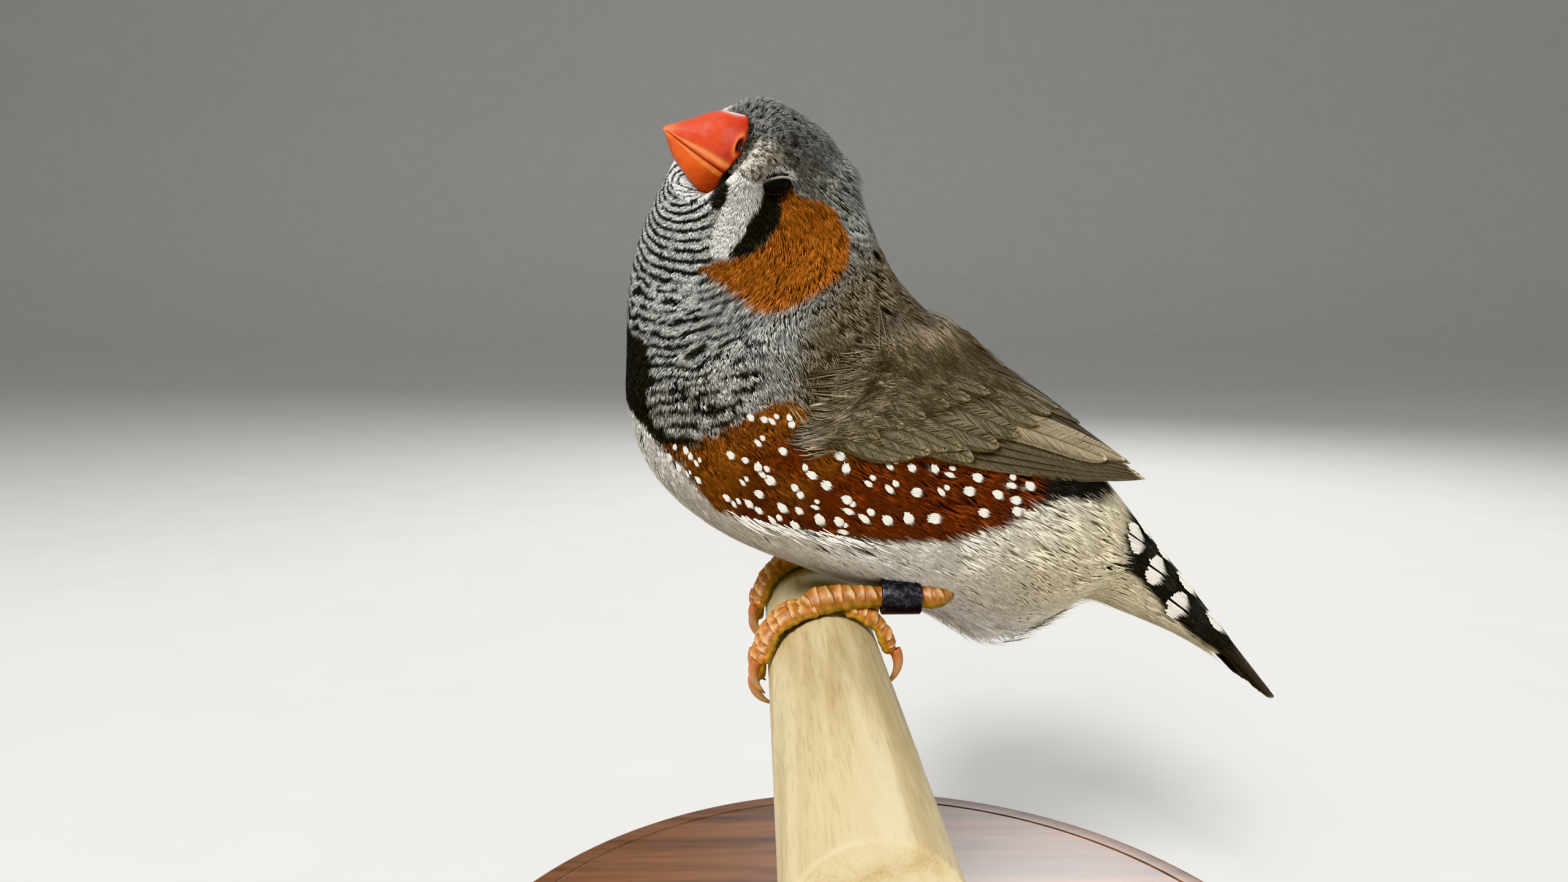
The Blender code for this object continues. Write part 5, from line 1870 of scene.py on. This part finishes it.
@dataclass
class Bill:
    """The two mandibles, worked out in the head's own axes."""

    TIP = np.array([14.2, 0.0, -2.2])
    GAPE = np.array([6.7, 3.8, -2.4])
    NOSTRIL = np.array([6.0, 2.75, 1.3])
    HALVES = (
        Mandible("bill_upper", 1, (5.8, 0.0, 4.1),
                 (0.3, 0.62, 0.95, 1.25, 1.38, 1.2, 0.85, 0.66, 0.54, 0.42, 0.3),
                 (-0.4, -0.7, -0.95, -0.9, -0.1), 0.0, 0.95, 1.0, ("#982C20", "#AA3C22")),
        Mandible("bill_lower", -1, (8.2, 0.0, -5.5),
                 (0.15, 0.45, 0.65, 0.75, 0.77, 0.73, 0.65, 0.5, 0.35, 0.25, 0.15),
                 (-0.4, -1.5, -2.3, -1.7, -0.1), 1.3, 0.6, 0.8, ("#9E3816", "#B84A10")),
    )
    LIP_CODE = "#D68A48"
    TIP_CODE = "#C9682F"
    NOSTRIL_RIM = "#C8733A"
    # Painted shade inside the nostril's hole
    NOSTRIL_SHADE = "#4A1209"

    rows: int = 70
    columns: int = 65
    seam: float = 0.12
    end_half_width: float = 0.32
    lip: float = 0.10

    def build(self, material) -> None:
        """Make both mandibles."""
        for half in self.HALVES:
            self.mandible(half, material)

    def mandible(self, half: Mandible, material) -> None:
        """Make one mandible.

        Formula: a section is a mouth side closed by a rounded box, its ridge on a bowed line to the
        tip. Its rear edge is set back by a curve round the section, a lip runs along the mouth, the
        lower one's sides hang lower at the rear, and the nostril is pressed into the upper one.
        """
        t = np.linspace(0, 1, self.rows)[:, None] ** 0.9
        phi = np.linspace(0, pi, self.columns)[None, :]
        ridge = graded((np.array(half.base), self.TIP), t)
        ridge = ridge + np.array([0, 0, half.sign]) * through(half.bow, t * (len(half.bow) - 1))
        half_width = self.GAPE[1] * (1 - t) ** 0.85 * (1 + 0.12 * np.sin(pi * t)) + self.end_half_width
        mouth = graded((self.GAPE, self.TIP), t) * (1, 0, 1) + (0, 0, half.sign * self.seam / 2)
        rise = np.sin(phi) ** half.rise_power
        spread = np.sign(np.cos(phi)) * np.abs(np.cos(phi)) ** half.spread_power
        lip = self.lip * np.exp(-(rise / 0.1) ** 2) * np.clip(1 - t, 0, 1) ** 0.3
        points = mouth[:, None] + (ridge - mouth)[:, None] * rise[..., None]
        points = points + np.array([0, 1, 0]) * ((half_width + lip) * spread)[..., None]
        height = np.minimum(phi, pi - phi) / (pi / 2) * (len(half.rear) - 1)
        points[..., 0] += through(half.rear, height) * (1 - t) ** 4
        points[..., 2] -= half.hang * np.exp(-((height - 2.3) / 0.9) ** 2) * (1 - t) ** 3
        colour = self.colours(half, points, t + 0 * phi, rise + 0 * t)
        if half.sign > 0:
            colour = self.nostril(points, colour)
        solid, faces = Build.loft(on_head(points))
        Build.piece(half.name, solid, faces, material, half.name, (half.name,), Build.capped(colour))

    def nostril(self, points: np.ndarray, colour: np.ndarray) -> np.ndarray:
        """Press the nostrils into points, with a swollen rim in front, and return their colours, the hole
        painted dark as shade.
        """
        away = points - self.NOSTRIL
        far = np.hypot(away[..., 0], away[..., 2] * 0.62)
        near = np.exp(-(far / 0.5) ** 4) * (points[..., 2] > -1)
        swell = np.exp(-((far - 0.75) / 0.25) ** 2) * smooth(away[..., 0] / 0.5 + 0.5)
        points[..., 1] -= np.sign(points[..., 1]) * (0.55 * near - 0.12 * swell)
        colour = mixed(colour, linear(self.NOSTRIL_RIM), 0.7 * swell)
        # The nostril's hole is painted dark, as shade inside it.
        return mixed(colour, linear(self.NOSTRIL_SHADE), np.clip(near * 1.4, 0, 1))

    @classmethod
    def colours(cls, half: Mandible, points: np.ndarray, t: np.ndarray, rise: np.ndarray) -> np.ndarray:
        """Return the colour: red at the base to orange, with a paler lip and a paler tip."""
        colour = mixed(*(linear(code) for code in half.colours), smooth(t * 2.4))
        lip = np.exp(-((rise - 0.13) / 0.055) ** 2) * smooth((0.95 - t) / 0.3)
        colour = mixed(colour, linear(cls.LIP_CODE), 0.8 * lip)
        colour = mixed(colour, linear(cls.TIP_CODE), smooth((t - 0.8) / 0.2))
        return colour * (1 + 0.10 * ripple(points * (1, 1, 2), 0.5, 31))[..., None]


@dataclass
class Eye:
    """An eyeball and its lids, in the head's own axes."""

    LONG_WAY = unit(np.array([-0.855, 0.0, 0.615]))
    SHORT_WAY = np.array([0.584, 0.0, 0.812])

    radius: float = 2.95
    opening: tuple = (1.72, 1.02)
    cornea: float = 0.03
    film: float = 0.08
    pupil_edge: float = 1.05
    iris_edge: float = 1.6

    PUPIL_CODE = "#040404"
    IRIS_CODE = "#090705"
    LID_CODES = ("#15110F", "#A59F92")
    PROFILE = np.array([(0.0, -0.25), (-0.05, 0.02), (0.02, 0.12), (0.12, 0.14), (0.22, 0.08),
                        (0.35, 0.0), (0.55, -0.2), (0.8, -0.7), (0.6, -1.0), (0.2, -0.6)])

    def build(self, wet, skin) -> None:
        """Make both eyes and both pairs of lids."""
        for word, side in (("left", 1), ("right", -1)):
            self.ball("eye_" + word, side, wet)
            self.lids("lids_" + word, side, skin)

    def ball(self, name: str, side: int, material) -> None:
        """Make the eyeball, a sphere with a slightly raised cornea, pupil and iris by its tint."""
        around = circle(64)
        away = np.linspace(0.001, pi - 0.001, 60)[:, None]
        bulge = 1 + self.cornea * smooth((1.9 - self.radius * np.sin(away)) / 1.4) * (np.cos(away) > 0)
        ring = np.sin(away) * self.radius * bulge
        centre = EYE_FRONT - (0, self.radius + self.film, 0)
        points = np.stack([ring * np.cos(around), self.radius * bulge * np.cos(away) + 0 * around,
                           ring * np.sin(around)], -1) + centre
        far = (self.radius * np.sin(away) + 0 * around) + 9 * (np.cos(away) < 0)
        pupil, iris = linear(self.PUPIL_CODE), linear(self.IRIS_CODE)
        colour = mixed(pupil, iris, smooth((far - self.pupil_edge) / 0.2))
        colour = mixed(colour, pupil, smooth((far - self.iris_edge) / 0.2))
        solid, faces = Build.loft(on_head(points * (1, side, 1)))
        Build.piece(name, solid, faces, material, "eye", (name,), Build.capped(colour))

    def lids(self, name: str, side: int, material) -> None:
        """Make the lids: a beaded rim round the almond opening and a skirt down to the face.

        Formula: a closed profile of rim and skirt is carried round an ellipse drawn out to corners
        and laid on the eyeball.
        """
        around = circle(96)[:, None]
        bead = 1 + 0.10 * np.sin(around * 26)
        out, lift = self.PROFILE[:, 0] * np.ones_like(around), self.PROFILE[:, 1] * bead
        x = (self.opening[0] + 0.12 * np.cos(2 * around) + out) * np.cos(around)
        y = (self.opening[1] + out) * np.sin(around)
        far = np.minimum(np.hypot(x, y), self.radius - 0.2)
        height = np.sqrt(self.radius ** 2 - far ** 2) - self.radius + lift
        points = EYE_FRONT - (0, 0.05, 0) + self.LONG_WAY * x[..., None] + self.SHORT_WAY * y[..., None]
        points[..., 1] += height
        solid, faces = Build.hoop(on_head(points * (1, side, 1)))
        pale = smooth((out - 0.16) / 0.12) * smooth((y + 0.2) / 0.4)
        shade = mixed(*(linear(code) for code in self.LID_CODES), pale)
        Build.piece(name, solid, faces, material, "feathers_head", (), shade.reshape(-1, 3))


class Toe(NamedTuple):
    """A toe round the perch: its angles about the dowel's axis and its places along the dowel."""

    root_angle: float
    tip_angle: float
    claw_angle: float
    root_across: float
    tip_across: float
    knuckle: float


@dataclass
class Foot:
    """Legs, toes and claws, worked out from the perch point like the frame's own."""

    TOES = {
        "inner": Toe(96.0, 170.0, 196.0, 0.9, 3.4, 0.5),
        "middle": Toe(96.0, 187.0, 212.0, 0.0, 0.4, 0.7),
        "outer": Toe(96.0, 166.0, 191.0, -0.9, -3.1, 0.5),
        "hind": Toe(74.0, 14.0, -15.0, 0.2, 0.9, 0.4),
    }
    TARSUS = ((-3.2, 0.0, 8.15), (-1.2, 0.0, 8.9), (1.4, 0.0, 9.35), (4.4, 0.0, 9.5), (7.4, 0.0, 9.5),
              (10.4, 0.0, 9.5), (13.2, 0.1, 9.5), (15.8, 0.3, 9.7))
    TARSUS_RADII = (1.0, 1.6, 1.55, 1.3, 1.15, 1.12, 1.45, 0.9)
    GAP = 0.15
    SKIN_CODE = "#9E6430"
    SCUTE_CODE = "#CBA56A"
    # Painted shade in the grooves between scutes
    GROOVE_SHADE_CODE = "#5E2E12"
    PAD_CODE = "#A98F3E"
    CLAW_CODES = ("#96562F", "#9E7850", "#5E4028")
    SIDES = 32
    CLAW_SIDES = 20

    toe_radius: float = 1.05
    scute: float = 1.35
    claw_radius: float = 0.58
    toe_tone: float = 0.9
    # The legs are darkened more than the toes, as painted shade under the body.
    leg_shade: float = 0.7

    def build(self, skin, horn) -> None:
        """Make both feet."""
        for word, side in (("left", 1), ("right", -1)):
            place = np.linspace(0, len(self.TARSUS) - 1, 110)
            path = through(self.TARSUS, place)
            radius = through(self.TARSUS_RADII, place)
            self.scaled("leg_" + word, path, radius, np.array([0, 0, 1.0]), side, skin, self.leg_shade)
            for name, toe in self.TOES.items():
                t = np.linspace(0, 1, 84)
                thickness = self.toe_radius * (1 - 0.14 * t) * (0.75 + 0.25 * smooth(t / 0.25))
                out = PERCH_RADIUS + self.GAP + thickness + toe.knuckle * np.sin(pi * t) ** 2
                path = self.round_perch(graded((toe.root_angle, toe.tip_angle), t), out,
                                        graded((toe.root_across, toe.tip_across), t))
                joints = 1 + 0.10 * np.cos(2 * pi * 2.5 * t + 0.6)
                self.scaled(f"toe_{word}_{name}", path, thickness * joints, path * (1, 0, 1), side, skin,
                            self.toe_tone)
                self.claw(f"claw_{word}_{name}", toe, side, horn)

    @staticmethod
    def round_perch(angle: np.ndarray, radius: np.ndarray, across: np.ndarray) -> np.ndarray:
        """Return places at angles in degrees and radii about the dowel's axis."""
        angle = np.radians(angle)
        return np.stack([radius * np.cos(angle), across + 0 * angle, radius * np.sin(angle)], -1)

    @staticmethod
    def from_perch(points: np.ndarray, side: int) -> np.ndarray:
        """Carry points from the left foot's frame to the left or right side, from the bird point."""
        return (points - (0.0, FOOT_SPREAD, 0.0)) * (1, side, 1) + PERCH_POINT - BIRD_POINT

    def scaled(self, name: str, path: np.ndarray, radius: np.ndarray, up: np.ndarray, side: int,
               material, tone: float) -> None:
        """Make a scaled tube.

        Formula: along its top the radius steps like a row of lapping scutes, at the sides small
        scales ripple it, underneath it swells into pads, and both ends are rounded.
        """
        run = np.concatenate([[0], np.cumsum(np.linalg.norm(np.diff(path, axis=0), axis=1))])
        angle = circle(self.SIDES)
        top = smooth((np.cos(angle) + 0.15) / 0.4)[None, :]
        pad = smooth((-np.cos(angle) - 0.1) / 0.5)[None, :]
        step = run[:, None] / self.scute + 0.12 * np.sin(run[:, None] * 2.3 + angle[None, :])
        step = np.mod(step + 0.10 * np.cos(angle * 2)[None, :], 1)
        lap = step ** 0.7 - smooth((step - 0.86) / 0.14)
        around = np.stack([np.cos(angle), np.sin(angle), 0 * angle], -1)
        beads = ripple(path[:, None] + 0.6 * around, 0.4, 51)
        swell = 0.16 * top * lap + 0.07 * beads
        swell = swell + 0.08 * pad * np.sin(run[:, None] * 2.4) ** 2
        end = np.minimum(run, run[-1] - run)[:, None] / radius.max()
        closing = np.sqrt(1 - (1 - np.clip(end * 1.3, 0.02, 1)) ** 2)
        points, faces = Build.tube(path, radius[:, None] * (1 + swell) * closing,
                                   np.broadcast_to(up, path.shape))
        groove = smooth((step - 0.8) / 0.1) * (1 - smooth((step - 0.95) / 0.05)) * top
        colour = mixed(linear(self.SKIN_CODE), linear(self.SCUTE_CODE), smooth(lap * 1.8 - 0.8) * top)
        # Painted shade darkens the crease at each scute's end.
        colour = mixed(colour, linear(self.GROOVE_SHADE_CODE), 0.9 * groove)
        colour = mixed(colour, linear(self.PAD_CODE), 0.7 * pad + 0 * step)
        # Each piece is darkened by its tone; for the legs this is painted shade under the body.
        tints = colour * tone * (1 + 0.35 * beads)[..., None]
        Build.piece(name, self.from_perch(points, side), Build.facing(faces, side), material, "leg_skin",
                    (name,), Build.capped(tints))

    def claw(self, name: str, toe: Toe, side: int, material) -> None:
        """Make a claw: a curved horn out from the toe's end and back to the perch, ridged on top."""
        t = np.linspace(0, 1, 40)
        step = np.sign(toe.claw_angle - toe.tip_angle)
        start = toe.tip_angle - step * 2.0
        arch = 0.75 * np.sin(pi * (1 - 0.85 * (1 - t))) - 0.85 * t
        path = self.round_perch(graded((start, toe.claw_angle), t), PERCH_RADIUS + 1.45 + arch,
                                toe.tip_across + 0 * t)
        angle = circle(self.CLAW_SIDES)
        radius = (self.claw_radius * (1 - t ** 1.5) + 0.09)[:, None] * (1 + 0.14 * np.cos(2 * angle))
        points, faces = Build.tube(path, radius, path * (1, 0, 1))
        root, middle, tip = (linear(code) for code in self.CLAW_CODES)
        colour = mixed(mixed(root, middle, smooth(t * 1.6)), tip, smooth((t - 0.75) / 0.25))
        Build.piece(name, self.from_perch(points, side), Build.facing(faces, side), material, "claw",
                    (name,), Build.capped(np.repeat(colour, self.CLAW_SIDES, axis=0)))


@dataclass
class Ring:
    """The closed leg ring, turned with rounded rims and left bare."""

    outer: float = 2.15
    inner: float = 1.62
    length: float = 4.9
    edge: float = 0.22
    place: tuple = (9.1, -13.4, 9.5)

    def build(self, material) -> None:
        """Make the ring.

        Formula: a rounded box profile turned about the leg's axis.
        """
        half, r = self.length / 2, self.edge
        corner = np.linspace(0, pi / 2, 5)
        arcs = [(half - r + r * np.sin(corner), self.outer - r + r * np.cos(corner)),
                (half - r + r * np.cos(corner), self.inner + r - r * np.sin(corner)),
                (-half + r - r * np.sin(corner), self.inner + r - r * np.cos(corner)),
                (-half + r - r * np.cos(corner), self.outer - r + r * np.sin(corner))]
        x = np.concatenate([arc[0] for arc in arcs])
        y = np.concatenate([arc[1] for arc in arcs])
        around = circle(96)[:, None]
        rings = np.stack([x * np.ones((96, 1)), y * np.cos(around), y * np.sin(around)], -1)
        solid, faces = Build.hoop(rings + self.place + PERCH_POINT - BIRD_POINT)
        Build.piece("leg_ring", solid, faces, material, "ring", ("leg_ring",), sharp=50)


@dataclass
class Stand:
    """The perch, its rods and the base."""

    base_radius: float = 60.0
    base_thickness: float = 9.0
    base_edge: float = 1.2
    rod_radius: float = 2.5
    rod_places: tuple = (-44.0, 12.0)
    rod_gap: float = 0.02
    cradle: float = 7.5
    softening: float = 0.4
    dent: float = 0.12

    def build(self) -> None:
        """Make the stand."""
        beech = Wood("perch_bare_beech", "#B3A480", "#9A875F", 1, 2.6, 0.62, 0.0, 0.22)
        walnut = Wood("base_varnished_walnut", "#6A452C", "#3A2417", 0, 3.2, 0.35, 0.6, 0.25)
        self.perch(beech.make())
        self.base(walnut.make())
        steel = BrushedSteel().make()
        for word, across in zip(("near", "far"), self.rod_places):
            self.rod("stand_rod_" + word, across, steel)

    def perch(self, material) -> None:
        """Make the dowel: a cylinder with softened ends, its surface worn and nicked.

        Formula: radius over length and angle, less a few small dents and a fine ripple.
        """
        near, far = PERCH_ENDS
        soft = self.softening
        edge = np.array([0.0, 0.05, 0.2, 0.5, 1.0]) * soft
        y = np.concatenate([near + edge, np.linspace(near, far, 200)[2:-2], far - edge[::-1]])
        short = np.clip(soft - np.minimum(y - near, far - y), 0, soft)
        radius = PERCH_RADIUS - soft + np.sqrt(np.maximum(soft ** 2 - short ** 2, 0))
        angle = circle(128)
        around = np.stack([np.cos(angle), np.sin(angle)], -1)
        places = np.stack([np.broadcast_to(around[:, 0] * 7, (len(y), 128)),
                           np.broadcast_to(y[:, None] * 0.25, (len(y), 128)),
                           np.broadcast_to(around[:, 1] * 7, (len(y), 128))], -1)
        dents = smooth((ripple(places, 2.3, 41) - 0.62) / 0.2) * self.dent
        radius = radius[:, None] - dents - 0.02 * (1 + ripple(places, 0.5, 42))
        points = np.stack([radius * around[:, 0], np.broadcast_to(y[:, None], radius.shape),
                           radius * around[:, 1]], -1)
        solid, faces = Build.loft(points + PERCH_POINT - BIRD_POINT)
        Build.piece("perch", solid, faces, material, "perch_wood", ("perch",), sharp=40)

    def base(self, material) -> None:
        """Make the base: a turned disc with a rounded upper edge, and a groove above and at its side."""
        r, h, e = self.base_radius, self.base_thickness, self.base_edge
        edge = [(r - e + e * sin(q), h - e + e * cos(q)) for q in np.linspace(0, pi / 2, 8)]
        profile = np.array([(0.6 * r, h), (r - 4.2, h), (r - 4.0, h - 0.25), (r - 3.8, h - 0.25),
                            (r - 3.6, h)] + edge + [(r, 1.6), (r - 0.3, 1.5), (r - 0.3, 1.2), (r, 1.1),
                                                    (r, 0.5), (r - 0.5, 0.0), (0.6 * r, 0.0)])
        angle = circle(160)
        rings = np.stack([profile[:, :1] * np.cos(angle), profile[:, :1] * np.sin(angle),
                          profile[:, 1:] + 0 * angle], -1)
        solid, faces = Build.loft(rings - BIRD_POINT)
        Build.piece("stand_base", solid, faces, material, "base_wood", ("stand_base",), sharp=40)

    def rod(self, name: str, across: float, material) -> None:
        """Make a rod from the base up to the dowel, its top cut hollow to cradle the dowel."""
        angle = circle(48)
        x, y = self.rod_radius * np.cos(angle), self.rod_radius * np.sin(angle)
        top = PERCH_POINT[2] - np.sqrt(self.cradle ** 2 - x ** 2)
        share = np.array([0, 0.02, 0.5, 0.98, 1])[:, None]
        z = graded((self.base_thickness + self.rod_gap, top), share)
        rings = np.stack([x + 0 * z, y + 0 * z, z], -1)
        offset = np.array([PERCH_POINT[0], PERCH_POINT[1] + across, 0.0])
        solid, faces = Build.loft(rings + offset - BIRD_POINT)
        Build.piece(name, solid, faces, material, "rod", (name,), sharp=40)


class Lamp(NamedTuple):
    """A round area light: its place, where it aims and its size in metres, and its power in watts."""

    name: str
    place: tuple[float, float, float]
    aim: tuple[float, float, float]
    size: float
    power: float


class Studio:
    """Camera, floor and soft lights."""

    WORLD_STRENGTH = 0.45
    FLOOR_HALF_WIDTH = 2.5
    # How far back and how high the floor is, in metres
    FLOOR_CURVE = ((-2.0, 0.0), (1.2, 0.0), (1.6, 0.03), (1.9, 0.12), (2.1, 0.28), (2.2, 0.5),
                   (2.25, 0.9), (2.25, 3.0))
    LAMPS = (Lamp("key", (-0.35, -0.55, 0.65), (0.0, 0.0, 0.09), 0.35, 15.0),
             Lamp("fill", (0.6, -0.5, 0.25), (0.0, 0.0, 0.09), 0.6, 2.5),
             Lamp("rim", (0.2, 0.5, 0.5), (0.0, 0.0, 0.1), 0.4, 4.0))

    def build(self) -> None:
        """Make the camera, the floor and the lights, shown with plain, unmuted colours."""
        bpy.context.scene.view_settings.view_transform = "Khronos PBR Neutral"
        self.camera()
        self.floor()
        self.lights()

    @staticmethod
    def camera() -> None:
        """Place the camera at the photo's angle."""
        data = bpy.data.cameras.new("camera")
        data.lens = LENS
        data.sensor_width = SENSOR
        data.clip_start = 0.005
        camera = bpy.data.objects.new("camera", data)
        camera.location = (BIRD_POINT + CAMERA_PLACE) * MM
        camera.rotation_euler = (radians(90 - CAMERA_DOWN), 0.0, radians(-CAMERA_SIDE))
        bpy.context.scene.collection.objects.link(camera)
        bpy.context.scene.camera = camera

    @classmethod
    def floor(cls) -> None:
        """Make a pale floor that curves up into a wall far behind."""
        across = np.linspace(-cls.FLOOR_HALF_WIDTH, cls.FLOOR_HALF_WIDTH, 3)
        run, rise = np.array(cls.FLOOR_CURVE).T
        x, y = np.meshgrid(across, run, indexing="xy")
        z = np.broadcast_to(rise[:, None], x.shape)
        points = np.stack([x, y, z], -1).reshape(-1, 3)
        mesh = bpy.data.meshes.new("floor")
        mesh.from_pydata(points.tolist(), [], Build.grid(len(run), len(across)).tolist())
        mesh.shade_smooth()
        mesh.materials.append(MattPaper().make())
        floor = bpy.data.objects.new("floor", mesh)
        bpy.context.scene.collection.objects.link(floor)

    @classmethod
    def lights(cls) -> None:
        """Hang a large soft key light over the bird's left front, a weak fill and a rim behind."""
        world = bpy.data.worlds.new("studio")
        world.use_nodes = True
        wire(world.node_tree, world.node_tree.nodes["Background"], Color=(1.0, 1.0, 1.0, 1.0),
             Strength=cls.WORLD_STRENGTH)
        bpy.context.scene.world = world
        for lamp in cls.LAMPS:
            data = bpy.data.lights.new(lamp.name, "AREA")
            data.shape = "DISK"
            data.size = lamp.size
            data.energy = lamp.power
            light = bpy.data.objects.new(lamp.name, data)
            light.location = lamp.place
            away = np.array(lamp.place) - np.array(lamp.aim)
            light.rotation_euler = (atan2(sqrt(away[0] ** 2 + away[1] ** 2), away[2]), 0.0,
                                    atan2(away[1], away[0]) + pi / 2)
            bpy.context.scene.collection.objects.link(light)


def main() -> None:
    """Build the looks in order and report each piece."""
    logging.basicConfig(level=logging.INFO, format="%(message)s")
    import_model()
    feather = Feather().make()
    body = BodyShape()
    coat = Coat(body, Markings(body))
    coat.skin(feather)
    coat.strands(feather)
    Wing(WingShape()).build(feather)
    Tail(body).build(feather)
    Bill().build(Horn("bill_waxy_keratin", 0.36, 0.12, 0.6, 0.12).make())
    Eye().build(WetEye().make(), ScaledSkin("lid_skin", 0.12).make())
    Foot().build(ScaledSkin().make(), Horn("claw_keratin", 0.35, 0.3, 0.3, 0.3).make())
    Ring().build(Anodised().make())
    Stand().build()
    Studio().build()


if __name__ == "__main__":
    main()
